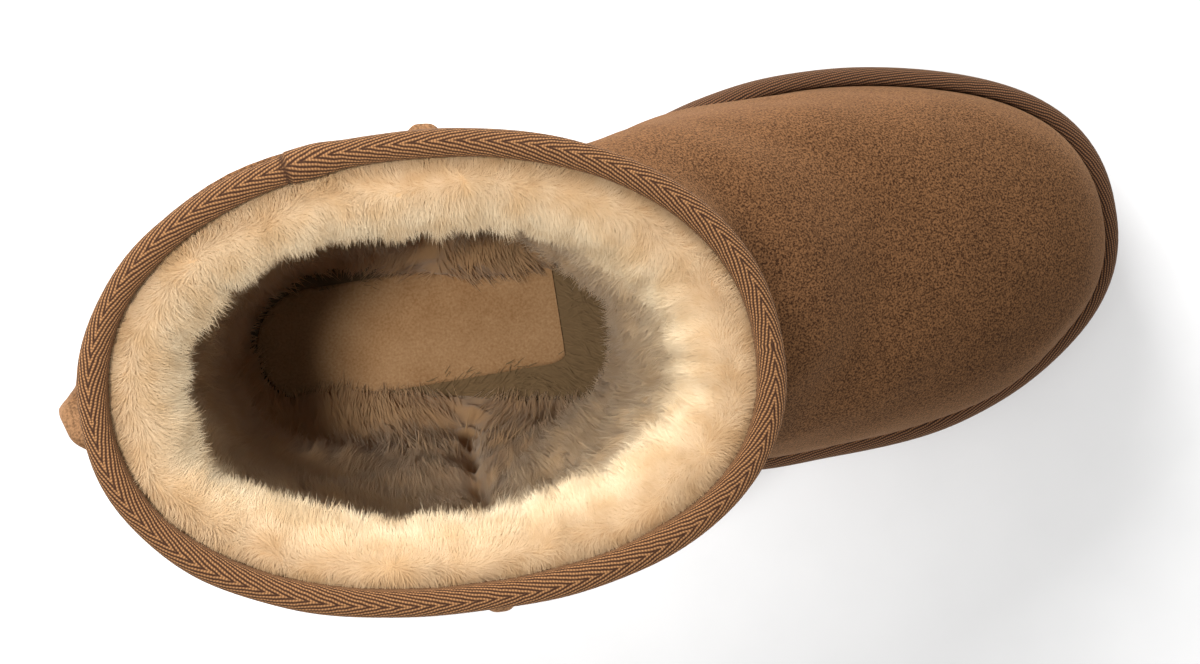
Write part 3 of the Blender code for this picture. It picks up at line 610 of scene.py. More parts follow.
def makeUpper():
    sizes = upperSizes
    low = np.linspace(0, 1, 5)
    body = np.linspace(1, placeAtDepth(sizes["topDepth"]), sizes["rings"] - sizes["topRings"])[1:]
    top = placeAtDepth(np.linspace(sizes["topDepth"], 0.0, sizes["topRings"]))[1:]
    grid = lastGrid(np.concatenate([low, body, top]), sizes["counts"])
    points = grid["plain"]
    turn = (grid["turn"] + 0.5) % 1.0 - 0.5           # 0 at the back, plus over the medial side
    fullAt = np.interp(turn, *np.array(sizes["puffAt"]).T)[None, :]
    away = (grid["depth"] - sizes["puffDepth"])[:, None]
    below = np.where(fullAt > 0, bell(away, sizes["puffWidth"]), bell(away, sizes["pullWidth"]))
    tucked = smooth((grid["depth"] - last["bindingEdge"]) / 3.0)[:, None]
    puff = fullAt * below * tucked * (1 + 0.15 * softNoise(points, 60.0, 3))
    free = (smooth((grid["v"] - 1.0) / 1.5) * smooth((grid["depth"] - last["bindingEdge"]) / 6.0))[:, None]
    dents = free * (0.45 * softNoise(points, 38.0, 5) + 0.16 * softNoise(points, 14.0, 6))
    seams = seamRelief(grid)
    outer = movedOut(grid, seams + puff + creaseRelief(grid) + dents)
    inner = movedOut(grid, -last["hide"])
    keep = np.unique(np.concatenate([np.arange(0, len(points), 3), [len(points) - 1]]))
    sections = np.concatenate([outer, inner[keep][::-1]])
    rows, count = sections.shape[:2]
    crest = 0.8 * bell(grid["back"] + sizes["backAside"], 5.0, 4) * smooth((40.0 - grid["depth"]) / 26.0)[:, None]
    sideCrest = 0.6 * bell(grid["seam"], sizes["seamHalf"], 4) * smooth((38.0 - grid["depth"]) / 18.0)[:, None]
    crest = np.maximum(crest, sideCrest)
    inside = np.zeros((len(keep), count))
    marks = {
        "rubbed": np.concatenate([crest, inside]).ravel(),
        # lighter on the medial side and darker on the lateral one: fitted to the photo, where part of it is its light
        # painted light and shade by which way the hide faces: lighter medial, darker lateral, none inside
        "paintedSideLight": np.concatenate([grid["normal"][:, :, 1] * free, inside]).ravel(),
    }
    obj = meshPiece("hideUpper", sections.reshape(-1, 3), sweptFaces(rows, count), suede, marks)
    finishPiece(obj, "suede", "upper")
    return grid, outer


upperGrid, upperOuter = makeUpper()
print("upper lasted")


# Collar binding: herringbone tape folded over the edge, in and out

collarSizes = {
    "counts": (4, 96, 10, 80),
    "rows": 16,
    "fold": 10,
    "jointX": 38.2,        # x of the tape's lapped joint on the last, on the medial side
    "lap": (0.6, 13.0),    # its step and its length
    "spine": 0.4,          # how far outside the fold's top the herringbone turns
}


def makeCollarBinding():
    sizes = collarSizes
    gap, tape, hide = last["gap"], last["tape"], last["hide"]
    depths = np.linspace(last["tapeDropOutside"] + 0.6, 0.0, sizes["rows"])
    grid = lastGrid(placeAtDepth(depths), sizes["counts"])
    across = hide / 2 + gap + tape
    ripple = softNoise(grid["plain"], 22.0, 11)
    rings, distance = [], []

    def ring(i, offset, lift):
        outward = grid["normal"][i] * (np.asarray(offset) - grid["pinch"][i])[..., None]
        return grid["plain"][i] + outward + np.array([0, 0, 1.0]) * np.asarray(lift)[..., None]

    rowCount = sizes["rows"]
    ahead = grid["plain"][-1, :, 0] - sizes["jointX"]
    joint = sizes["lap"][0] * smooth(ahead / 0.6) * smooth((sizes["lap"][1] - ahead) / 8.0) * (grid["side"][-1] > 0)
    for i in range(rowCount):           # up outside
        thick = gap + tape + 0.12 * ripple[i] + joint
        thick = thick - tape * 0.75 * bell(i, 0.6)
        rings.append(ring(i, thick, 0.0))
        distance.append(depths[i] + across * math.pi / 2)
    for k in range(1, sizes["fold"]):   # over the edge
        angle = math.pi * k / sizes["fold"]
        radius = across + 0.10 * ripple[-1] + joint
        rings.append(ring(-1, -hide / 2 + radius * math.cos(angle),
                          (gap + tape + 0.12 * ripple[-1] + joint) * math.sin(angle)))
        distance.append(across * (math.pi / 2 - angle))
    inside = [i for i in range(rowCount - 1, -1, -1) if depths[i] <= last["tapeDropInside"]]
    for i in inside:                    # down inside
        thick = -(hide + gap + tape) - 0.1 * ripple[i]
        if i == inside[-1]:
            thick = thick + tape * 0.7
        rings.append(ring(i, thick, 0.0))
        distance.append(-depths[i] - across * math.pi / 2)
    for i in reversed(inside):          # back up against the hide, inside
        rings.append(ring(i, -(hide + gap), 0.0))
        distance.append(-depths[i] - across * math.pi / 2)
    rings.append(ring(-1, -(hide + gap), gap * 0.8))
    rings.append(ring(-1, gap, gap * 0.8))
    distance += [0.0, 0.0]
    for i in range(rowCount - 1, -1, -1):
        rings.append(ring(i, gap, 0.0))
        distance.append(depths[i] + across * math.pi / 2)
    sections = np.array(rings)
    rows, count = sections.shape[:2]
    beyond = np.append((ahead > 0) & (grid["side"][-1] > 0), False)
    # the weave doesn't meet over the joint
    along = np.broadcast_to(grid["around"][-1] + 1.3 * beyond, (rows, count + 1))
    spread = np.array(distance + [distance[0]])[:, None] - sizes["spine"]
    uv = sweptMap(along, np.broadcast_to(spread, (rows + 1, count)))
    # painted shade on the lower tape at the foot of the lapped joint's step
    paintedLapShade = np.broadcast_to(0.85 * bell(ahead + 0.35, 0.45) * (grid["side"][-1] > 0), (rows, count))
    obj = meshPiece("collarTape", sections.reshape(-1, 3), sweptFaces(rows, count), collarTwill,
                    {"paintedLapShade": paintedLapShade.ravel()}, uv)
    return finishPiece(obj, "twill_tape", "collar_binding")


makeCollarBinding()


# Sole binding: a rounded tape band that stands on the sole's edge

bandSizes = {
    "counts": (3, 16, 6, 84),
    # across, up: shares of its width and height, round the section from the foot outside to the foot inside
    "section": [(0.78, 0.0), (0.90, 0.07), (0.97, 0.18), (1.0, 0.33), (1.0, 0.48), (0.97, 0.62), (0.90, 0.75),
                (0.78, 0.87), (0.60, 0.96), (0.38, 1.02), (0.16, 1.03), (0.0, 0.97), (0.0, 0.5), (0.0, 0.0)],
}


def makeSoleBinding():
    grid = lastGrid(np.linspace(0, 1, 13), bandSizes["counts"])
    rings, distance, travelled = [], [], 0.0
    before = None
    ripple = softNoise(grid["plain"][0], 30.0, 21)
    for out, up in bandSizes["section"]:
        v = np.interp(up, [0, 1.0375], [0, 1])
        k = v * 12
        low = int(min(k, 11))
        base = lerp(grid["plain"][low], grid["plain"][low + 1], k - low)
        normal = grid["normal"][low]
        offset = last["gap"] + last["bandWidth"] * out + (0.12 * ripple if out > 0.3 else 0.0)
        points = base + normal * np.broadcast_to(offset, base.shape[:1])[:, None]
        points[:, 2] = soleTop(points[:, 0]) + last["gap"] + last["bandHeight"] * up
        rings.append(points)
        here = np.array([last["bandWidth"] * out, last["bandHeight"] * up])
        travelled += 0.0 if before is None else np.linalg.norm(here - before)
        before = here
        distance.append(travelled)
    sections = np.array(rings)
    rows, count = sections.shape[:2]
    steps = np.linalg.norm(np.roll(sections[4], -1, axis=0) - sections[4], axis=1)
    along = np.broadcast_to(np.concatenate([[0], np.cumsum(steps)]), (rows, count + 1))
    spread = np.array(distance + [distance[-1] + 3.9])[:, None]
    uv = sweptMap(along, np.broadcast_to(spread, (rows + 1, count)))
    obj = meshPiece("soleTape", sections.reshape(-1, 3), sweptFaces(rows, count), soleTwill, uv=uv)
    return finishPiece(obj, "twill_tape", "sole_binding")


makeSoleBinding()
print("tapes bound")


# Wool: a displaced base with strands on it, in four bands

woolSizes = {
    "counts": (2, 18, 6, 70),
    "lockSize": 9.0,
    "lockDepth": 1.1,
    "layer": 1.2,          # how much of the wool's depth is loose strands
    # the roll under the collar: depths under its edge, and how far in from the last it stands at each
    "rollDepths": [5.6, 3.9, 3.1, 2.8, 3.1, 4.0, 5.5, 7.7, 10.6, 14.0],
    "rollInward": [4.2, 4.8, 6.2, 8.2, 10.4, 12.2, 13.7, 15.0, 15.9, 16.4],
    # turn from the back (plus is medial) and how much further the roll stands in there
    "lipAt": ((-0.5, -0.6), (-0.42, -0.4), (-0.30, 0.6), (-0.16, 1.0), (-0.05, 1.8), (0.1, 1.8), (0.28, 1.8),
              (0.36, 0.6), (0.44, -0.6), (0.5, -0.6)),
}


def woolStrandsTree():
    tree = bpy.data.node_groups.new("woolStrands", "GeometryNodeTree")
    tree.interface.new_socket("Geometry", in_out="INPUT", socket_type="NodeSocketGeometry")
    inputs = {"Density": 1000.0, "Length": 0.005, "Width": 0.0003, "Rise": 0.6, "Lean": 0.8, "Clump": 0.8,
              "Frizz": 0.3, "Curl": 0.3}
    for name, value in inputs.items():
        tree.interface.new_socket(name, in_out="INPUT", socket_type="NodeSocketFloat").default_value = value
    for name, value in {"Seed": 1, "Joints": 3}.items():
        tree.interface.new_socket(name, in_out="INPUT", socket_type="NodeSocketInt").default_value = value
    tree.interface.new_socket("Finish", in_out="INPUT", socket_type="NodeSocketMaterial")
    tree.interface.new_socket("Geometry", in_out="OUTPUT", socket_type="NodeSocketGeometry")
    given = addNode(tree, "NodeGroupInput")

    # one flat strand, a unit long, that narrows to its tip and bows over
    strand = addNode(tree, "GeometryNodeMeshGrid",
                     {"Size X": 1.0, "Size Y": 1.0, "Vertices X": 2, "Vertices Y": (given, "Joints")})
    place = addNode(tree, "GeometryNodeInputPosition")
    parts = addNode(tree, "ShaderNodeSeparateXYZ", {0: place})
    along = addNode(tree, "ShaderNodeMath", {0: (parts, 1), 1: 0.5}, operation="ADD")
    square = addNode(tree, "ShaderNodeMath", {0: along, 1: along}, operation="MULTIPLY")
    narrow = addNode(tree, "ShaderNodeMath", {0: square, 1: -0.9, 2: 1.0}, operation="MULTIPLY_ADD")
    across = addNode(tree, "ShaderNodeMath", {0: (parts, 0), 1: narrow}, operation="MULTIPLY")
    bow = addNode(tree, "ShaderNodeMath", {0: square, 1: (given, "Curl")}, operation="MULTIPLY")
    sag = addNode(tree, "ShaderNodeMath", {0: bow, 1: -1.0}, operation="MULTIPLY")
    shaped = addNode(tree, "ShaderNodeCombineXYZ", {0: across, 1: along, 2: sag})
    blade = addNode(tree, "GeometryNodeSetPosition", {"Geometry": (strand, "Mesh"), "Position": shaped})
    tipMark = addNode(tree, "GeometryNodeStoreNamedAttribute", {"Geometry": blade, "Name": "tip", "Value": along},
                      data_type="FLOAT", domain="POINT")

    # roots spread over the base, thinner where its density attribute is low
    thick = addNode(tree, "GeometryNodeInputNamedAttribute", {"Name": "density"}, data_type="FLOAT")
    density = addNode(tree, "ShaderNodeMath", {0: thick, 1: (given, "Density")}, operation="MULTIPLY")
    roots = addNode(tree, "GeometryNodeDistributePointsOnFaces",
                    {"Mesh": (given, "Geometry"), "Density": density, "Seed": (given, "Seed")})
    standing = addNode(tree, "ShaderNodeVectorMath", {0: (roots, "Normal"), "Scale": (given, "Rise")},
                       operation="SCALE")
    comb = addNode(tree, "GeometryNodeInputNamedAttribute", {"Name": "comb"}, data_type="FLOAT_VECTOR")
    combed = addNode(tree, "ShaderNodeVectorMath", {0: comb, "Scale": (given, "Lean")}, operation="SCALE")
    where = addNode(tree, "GeometryNodeInputPosition")
    locks = addNode(tree, "ShaderNodeTexNoise", {"Vector": where, "Scale": 130.0, "Detail": 1.5})
    centred = addNode(tree, "ShaderNodeVectorMath", {0: (locks, "Color"), 1: (0.5, 0.5, 0.5)}, operation="SUBTRACT")
    doubled = addNode(tree, "ShaderNodeMath", {0: (given, "Clump"), 1: 4.0}, operation="MULTIPLY")
    clump = addNode(tree, "ShaderNodeVectorMath", {0: centred, "Scale": doubled}, operation="SCALE")
    stray = addNode(tree, "FunctionNodeRandomValue",
                    {0: (-1.0, -1.0, -1.0), 1: (1.0, 1.0, 1.0), "Seed": (given, "Seed")}, data_type="FLOAT_VECTOR")
    frizz = addNode(tree, "ShaderNodeVectorMath", {0: stray, "Scale": (given, "Frizz")}, operation="SCALE")
    sumA = addNode(tree, "ShaderNodeVectorMath", {0: standing, 1: combed}, operation="ADD")
    sumB = addNode(tree, "ShaderNodeVectorMath", {0: clump, 1: frizz}, operation="ADD")
    heading = addNode(tree, "ShaderNodeVectorMath", {0: sumA, 1: sumB}, operation="ADD")
    pointed = addNode(tree, "FunctionNodeAlignRotationToVector", {"Vector": heading}, axis="Y")
    facing = addNode(tree, "ShaderNodeVectorMath", {0: (roots, "Normal"), 1: frizz}, operation="ADD")
    turned = addNode(tree, "FunctionNodeAlignRotationToVector", {"Rotation": pointed, "Vector": facing}, axis="Z",
                     pivot_axis="Y")
    grown = addNode(tree, "FunctionNodeRandomValue", {2: 0.55, 3: 1.25, "Seed": (given, "Seed")}, data_type="FLOAT")
    length = addNode(tree, "ShaderNodeMath", {0: (grown, 1), 1: (given, "Length")}, operation="MULTIPLY")
    size = addNode(tree, "ShaderNodeCombineXYZ", {0: (given, "Width"), 1: length, 2: length})
    marked = addNode(tree, "GeometryNodeStoreNamedAttribute",
                     {"Geometry": (roots, "Points"), "Name": "tone", "Value": (grown, 1)},
                     data_type="FLOAT", domain="POINT")
    rooted = addNode(tree, "GeometryNodeStoreNamedAttribute",
                     {"Geometry": marked, "Name": "lieOf", "Value": (roots, "Normal")},
                     data_type="FLOAT_VECTOR", domain="POINT")
    spread = addNode(tree, "GeometryNodeInstanceOnPoints",
                     {"Points": rooted, "Instance": tipMark, "Rotation": turned, "Scale": size})
    real = addNode(tree, "GeometryNodeRealizeInstances", {"Geometry": spread})
    shown = addNode(tree, "GeometryNodeSetMaterial", {"Geometry": real, "Material": (given, "Finish")})
    addNode(tree, "NodeGroupOutput", {0: shown})
    return tree


woolTree = woolStrandsTree()


def grownMesh(base, tree, values, name, softened=0.65):
    # Runs a strands or stitches tree on a base and keeps the result as a plain mesh
    modifier = base.modifiers.new("grown", "NODES")
    modifier.node_group = tree
    sockets = {item.name: item.identifier for item in tree.interface.items_tree if item.in_out == "INPUT"}
    for key, value in values.items():
        modifier[sockets[key]] = value
    bpy.context.view_layer.update()
    evaluated = base.evaluated_get(bpy.context.evaluated_depsgraph_get())
    mesh = bpy.data.meshes.new_from_object(evaluated)
    base.modifiers.remove(modifier)
    mesh.name = name
    mesh.shade_smooth()
    if softened and "lieOf" in mesh.attributes:
        count = len(mesh.vertices)
        lie, own = np.zeros(count * 3, np.float32), np.zeros(count * 3, np.float32)
        mesh.attributes["lieOf"].data.foreach_get("vector", lie)
        mesh.vertices.foreach_get("normal", own)
        lie, own = lie.reshape(-1, 3), own.reshape(-1, 3)
        own *= np.sign(np.sum(own * lie, axis=1, keepdims=True) + 1e-6)
        soft = lie * softened + own * (1 - softened)
        soft /= np.linalg.norm(soft, axis=1, keepdims=True) + 1e-9
        mesh.normals_split_custom_set_from_vertices(soft.tolist())
        mesh.attributes.remove(mesh.attributes["lieOf"])
    obj = bpy.data.objects.new(name, mesh)
    scene.collection.objects.link(obj)
    return obj


def woolBase():
    # Rings of the wool's face: over the roll under the collar, down the shaft and forward into the foot
    layer = woolSizes["layer"]
    rollDepths, rollInward = woolSizes["rollDepths"], woolSizes["rollInward"]
    count = 2 * sum(woolSizes["counts"])
    deep = placeAtDepth(np.linspace(17.0, 60.0, 26))
    foot = np.linspace(placeAtDepth(60.0), 1.0, 95)[1:]
    places = np.concatenate([placeAtDepth(rollDepths), deep, foot, np.linspace(1.0, 0.25, 8)[1:]])
    # lastGrid wants rising places and the roll's don't rise, so they are sorted here and put back after
    order = np.argsort(places)
    rising = lastGrid(np.sort(places), woolSizes["counts"])
    back = np.argsort(order)
    grid = {}
    for key, value in rising.items():
        perRing = isinstance(value, np.ndarray) and value.shape[0] == len(places)
        grid[key] = value[back] if perRing else value
    depth = grid["depth"]
    roll = last["woolRoll"] * smooth((60.0 - depth) / 40.0)
    shoulder = np.sqrt(np.maximum(0.0, 1 - np.maximum(0.0, 1 - depth / 15.0) ** 2))
    inward = last["hide"] + last["gap"] + (last["wool"] + roll) * lerp(0.42, 1.0, shoulder)
    beside = 1 - smooth((depth - last["tapeDropInside"] - 1.5) / 2.0)
    inward = inward + (last["tape"] + last["gap"]) * beside
    inward[:len(rollDepths)] = rollInward
    inward = inward - layer * smooth((depth - 3.0) / 6.0)
    points = grid["plain"]
    ahead = (points[:, :, 0] - points[:, :1, 0]) / (points[:, count // 2, 0] - points[:, 0, 0])[:, None]
    throat = last["throatWool"] * smooth((ahead - last["throatStart"]) / (1 - last["throatStart"]))
    rise = (grid["v"] - last["throatRows"][0]) / (last["throatRows"][1] - last["throatRows"][0])
    onRoll = np.ones(len(places))
    onRoll[:8] = [0.0, 0.0, 0.08, 0.2, 0.38, 0.58, 0.78, 0.92]
    throatShare = lerp(0.4, 1.0, smooth((depth - 14.0) / 26.0)) + 0.55 * bell(depth - 98.0, 34.0)
    throat = throat * (smooth(rise) * onRoll * throatShare)[:, None]
    x, medial = points[:, :, 0], grid["side"] > 0
    lap = np.where(medial, lerp(3.0, 11.5, smooth((x - 35) / 40)), lerp(9.5, 3.5, smooth((x - 30) / 60)))
    fromHeel = lerp(0.35, 1.0, smooth((x - 4) / 26))
    lap = lap * lerp(1.0, 0.0, smooth((x - 110) / 60)) * fromHeel * smooth((3.4 - grid["v"]) / 2.2)[:, None]
    lipAt = np.interp((grid["turn"] + 0.5) % 1.0 - 0.5, *np.array(woolSizes["lipAt"]).T)
    lip = lipAt[None, :] * (bell(depth - 16.0, 9.0) * onRoll)[:, None]
    fade = np.ones(len(places))
    fade[:3] = [0.0, 0.15, 0.5]
    fade = fade * smooth((grid["v"] - 0.4) / 1.2)
    locks = softNoise(points, woolSizes["lockSize"], 31) * 0.6 + 0.4 * softNoise(points, 5.0, 32)
    billows = 0.9 * softNoise(points, 28.0, 33)
    shown = (smooth((depth - 18.0) / 14.0) * smooth((grid["v"] - 3.4) / 2.0))[:, None]
    parting = shown * (4.0 * bell(grid["seam"], 2.2) + 1.6 * bell(grid["back"], 2.4))
    relief = fade[:, None] * (woolSizes["lockDepth"] * locks + billows) - parting
    out = movedOut(grid, -(inward[:, None] + lip + lap + throat + relief))
    return grid, out


woolGrid, woolPoints = woolBase()


def makeFleece():
    grid, points = woolGrid, woolPoints
    rows, count = points.shape[:2]
    down = np.gradient(points, axis=0)
    down /= np.linalg.norm(down, axis=2, keepdims=True) + 1e-9
    around = np.roll(points, -1, axis=1) - np.roll(points, 1, axis=1)
    around /= np.linalg.norm(around, axis=2, keepdims=True) + 1e-9
    swirl = softNoise(points, 45.0, 41)[:, :, None]
    fromSeam = (np.sign(grid["seam"]) * grid["side"] * bell(grid["seam"], 12.0))[:, :, None]
    # wisps over the tape's inner edge
    turnedOut = np.interp(np.arange(rows), [0, 2, 5], [-1.0, -0.5, 1.0])[:, None, None]
    onShaft = smooth((grid["depth"] - 16.0) / 12.0)[:, None, None]
    comb = down * turnedOut + lerp(0.25, 0.5, onShaft) * swirl * around + 1.3 * onShaft * fromSeam * around
    comb /= np.linalg.norm(comb, axis=2, keepdims=True)
    bands = {
        # rows of the base, strands
        "fleeceRoll": ((0, 9), {"Density": 17e6, "Length": 0.0034, "Width": 0.00013, "Rise": 0.46, "Lean": 0.50,
                                "Seed": 3}),
        "fleeceCollar": ((8, 20), {"Density": 11e6, "Length": 0.0036, "Width": 0.00014, "Rise": 0.42, "Lean": 0.60,
                                   "Seed": 4}),
        "fleeceShaft": ((19, 66), {"Density": 3.2e6, "Length": 0.0044, "Width": 0.00020, "Rise": 0.36, "Lean": 0.8,
                                   "Seed": 5}),
        "fleeceFoot": ((65, rows), {"Density": 0.9e6, "Length": 0.0060, "Width": 0.0004, "Rise": 0.40, "Lean": 0.8,
                                    "Seed": 7}),
    }
    for name, ((first, end), values) in bands.items():
        part = points[first:end]
        # the rings run down inside, so the faces look in to the foot
        band = sweptFaces(end - first, count, closed=False)
        below = smooth((grid["depth"][first:end] - 20.0) / 12.0)[:, None]
        thin = 1 - 0.97 * bell(grid["seam"][first:end], 4.2) * below
        data = {
            "comb": comb[first:end].reshape(-1, 3),
            "density": thin.ravel(),
            "tip": np.full(part.shape[0] * count, 0.5),
            "tone": np.full(part.shape[0] * count, 0.5),
            # browner in the rows of the roll nearest the tape, fading out by the ninth row
            "tapeSideBrown": np.repeat(np.interp(np.arange(first, end), [0, 2, 6, 9], [0.9, 0.6, 0.12, 0.0]), count),
        }
        base = meshPiece(name + "Base", part.reshape(-1, 3), band, wool, data)
        values = {**values, "Joints": 2, "Clump": 0.32, "Frizz": 0.30, "Curl": 0.2, "Finish": wool}
        strands = grownMesh(base, woolTree, values, name + "Strands", softened=0.78)
        finishPiece(base, "fleece", "fleece_lining")
        finishPiece(strands, "fleece", "fleece_lining")
        print(name, len(strands.data.polygons) * 2, "triangles of strands")


makeFleece()
print("wool grown")


# Outsole: moulded foam rubber, one smooth loft with its side line, ribs and tread

soleSizes = {
    "steps": 300,
    "across": 84,
    "groove": 0.9,
    "edge": 1.4,
    "lugDepth": 2.4,
    "lugGroove": 3.2,
    "lugPitch": 11.0,
    "lugWave": 2.6,
    "lugRim": 8.0,
    "zones": ((0.055, 0.285), (0.585, 0.945)),
}


def foamRubber():
    # Moulded EVA foam: matt, slightly satin, a fine pebble from the mould
    made, tree, shader = startMaterial("foamRubber", 0.62, specular=0.35)
    coords = addNode(tree, "ShaderNodeTexCoord")
    pebble = addNode(tree, "ShaderNodeTexVoronoi", {"Vector": (coords, "Object"), "Scale": 1100.0},
                     feature="SMOOTH_F1")
    dust = addNode(tree, "ShaderNodeTexNoise", {"Vector": (coords, "Object"), "Scale": 70.0, "Detail": 4.0})
    tone = addNode(tree, "ShaderNodeMix", {"Factor": dust, 6: hexColour("#4a2f1e"), 7: hexColour("#65452f")},
                   data_type="RGBA")
    tree.links.new(tone.outputs[2], shader.inputs["Base Color"])
    bump = addNode(tree, "ShaderNodeBump", {"Height": pebble, "Strength": 0.35, "Distance": 0.2 * mm})
    tree.links.new(bump.outputs[0], shader.inputs["Normal"])
    return made


rubber = foamRubber()


def soleLoop(steps):
    # The feather line as a closed loop with level outward directions
    medial, lateral = ringSide(0, 1, steps), ringSide(0, -1, steps)
    loop = np.concatenate([medial, lateral[-2:0:-1]])
    ahead, behind = np.roll(loop, -1, axis=0) - loop, loop - np.roll(loop, 1, axis=0)
    evenness = np.linalg.norm(behind, axis=1, keepdims=True) / np.linalg.norm(ahead, axis=1, keepdims=True)
    tangent = ahead * evenness + behind / evenness
    normal = np.stack([-tangent[:, 1], tangent[:, 0]], axis=1)
    normal /= np.linalg.norm(normal, axis=1, keepdims=True)
    return loop[:, :2], normal


def plateRows(ring, base, upward, start, shares):
    # Rows across between the facing points of a closed ring, whose first index is base: the new points, numbered
    # from start, and the faces
    n, inner = len(ring) // 2, len(shares)
    left, right = ring[1:n], ring[:n:-1]
    grid = left[:, None, :] + (right - left)[:, None, :] * shares[None, :, None]
    index = np.zeros((n + 1, inner + 2), int)
    index[1:n, 1:-1] = start + np.arange((n - 1) * inner).reshape(n - 1, inner)
    index[1:n, 0] = base + np.arange(1, n)
    index[1:n, -1] = base + np.arange(2 * n - 1, n, -1)
    index[0, :], index[n, :] = base, base + n
    quads = np.stack([index[:-1, :-1], index[1:, :-1], index[1:, 1:], index[:-1, 1:]], -1).reshape(-1, 4).tolist()
    faces = []
    for quad in quads:
        face = [point for place, point in enumerate(quad) if point not in quad[:place]]
        if len(face) > 2:
            faces.append(face[::-1] if upward else face)
    return grid, faces


def makeOutsole():
    sizes = soleSizes
    n = sizes["steps"]
    loop, normal = soleLoop(n)
    count = len(loop)
    arc = np.concatenate([[0], np.cumsum(np.linalg.norm(np.diff(loop, axis=0), axis=1))])
    ribs = 0.5 + 0.5 * np.cos(2 * math.pi * arc / 3.0)
    lip, groove, edge = last["soleLip"], sizes["groove"], sizes["edge"]
    profile = [
        # outset, share of height, rib
        (lip - edge, None, 0), (lip - edge * 0.55, 0.12, 0), (lip - edge * 0.2, 0.42, 0), (lip, 1.0, 0),
        (lip, 0.20, 0), (lip, 0.30, 0.0), (lip, 0.42, 0.0), (lip - 0.1, 0.455, 0.0),
        (lip - groove * 0.6, 0.475, 0), (lip - groove, 0.50, 0), (lip - groove, 0.56, 0),
        (lip - groove * 0.6, 0.60, 0), (lip - groove * 0.3, 0.63, 0), (lip - groove * 0.3, 0.66, 0.35),
        (lip - groove * 0.3, 0.80, 0.35), (lip - groove * 0.3, 0.93, 0.35), (lip - groove * 0.3, 0.96, 0),
        (lip - groove * 0.3 - 0.4, 1.0, 0),
    ]
    rings = []
    for k, (outset, share, rib) in enumerate(profile):
        xy = loop + normal * (outset - rib * ribs)[:, None] if rib else loop + normal * outset
        low, high = soleBottom(xy[:, 0]), soleTop(xy[:, 0])
        if k == 0:
            z = low
        elif k < 4:
            z = low + edge * share
        else:
            z = lerp(low, high, share)
        rings.append(np.column_stack([xy, z]))
    sides = np.array(rings)
    rows = len(sides)
    faces = sweptFaces(rows, count, closed=False).tolist()
    points = [sides.reshape(-1, 3)]
    # tread: rows across between facing points of the foot ring; top: the same, plain
    tread, treadFaces = plateRows(sides[0], 0, False, rows * count, np.linspace(0, 1, sizes["across"] + 1)[1:-1])
    x, y = tread[:, :, 0], tread[:, :, 1]
    cut = np.zeros(x.shape)
    halfIn = np.minimum(np.abs(sides[0][1:n, 1])[:, None] - y, y + np.abs(sides[0][:n:-1, 1])[:, None])
    rim = smooth((halfIn - sizes["lugRim"] + sizes["edge"]) / 1.2)
    for start, end in sizes["zones"]:
        lanes = int((end - start) * last["length"] / sizes["lugPitch"])
        for k in range(lanes + 1):
            middle = start * last["length"] + k * sizes["lugPitch"]
            span = np.interp(middle, ringSide(0, 1)[:, 0], ringSide(0, 1)[:, 1])
            wave = sizes["lugWave"] * np.cos(2 * math.pi * (y + span) / (2 * span))
            cut = np.maximum(cut, smooth((sizes["lugGroove"] / 2 + 0.35 - np.abs(x - middle - wave)) / 0.7) * rim)
    tread[:, :, 2] = soleBottom(x) + sizes["lugDepth"] * cut
    points.append(tread.reshape(-1, 3))
    faces += treadFaces
    top, topFaces = plateRows(sides[-1], (rows - 1) * count, True, rows * count + tread.size // 3,
                              np.linspace(0, 1, 7)[1:-1])
    top[:, :, 2] = soleTop(top[:, :, 0])
    points.append(top.reshape(-1, 3))
    faces += topFaces
    obj = meshPiece("foamOutsole", np.concatenate(points), faces, rubber, sharpAngle=38)
    return finishPiece(obj, "moulded_sole", "outsole")


makeOutsole()
print("outsole moulded")


# Insole: a wool footbed with a suede patch at the heel

footbedSizes = {
    "patchStart": 14.7,
    "patchLength": 82.5,
    "patchWidth": 31.0,
    "patchThickness": 1.2,
    "patchSeat": 0.45,
    "bareHalf": 14.5,      # no strands nearer than this to the middle, under the patch
    "bareShort": 1.0,      # and up to this far before its front end
}


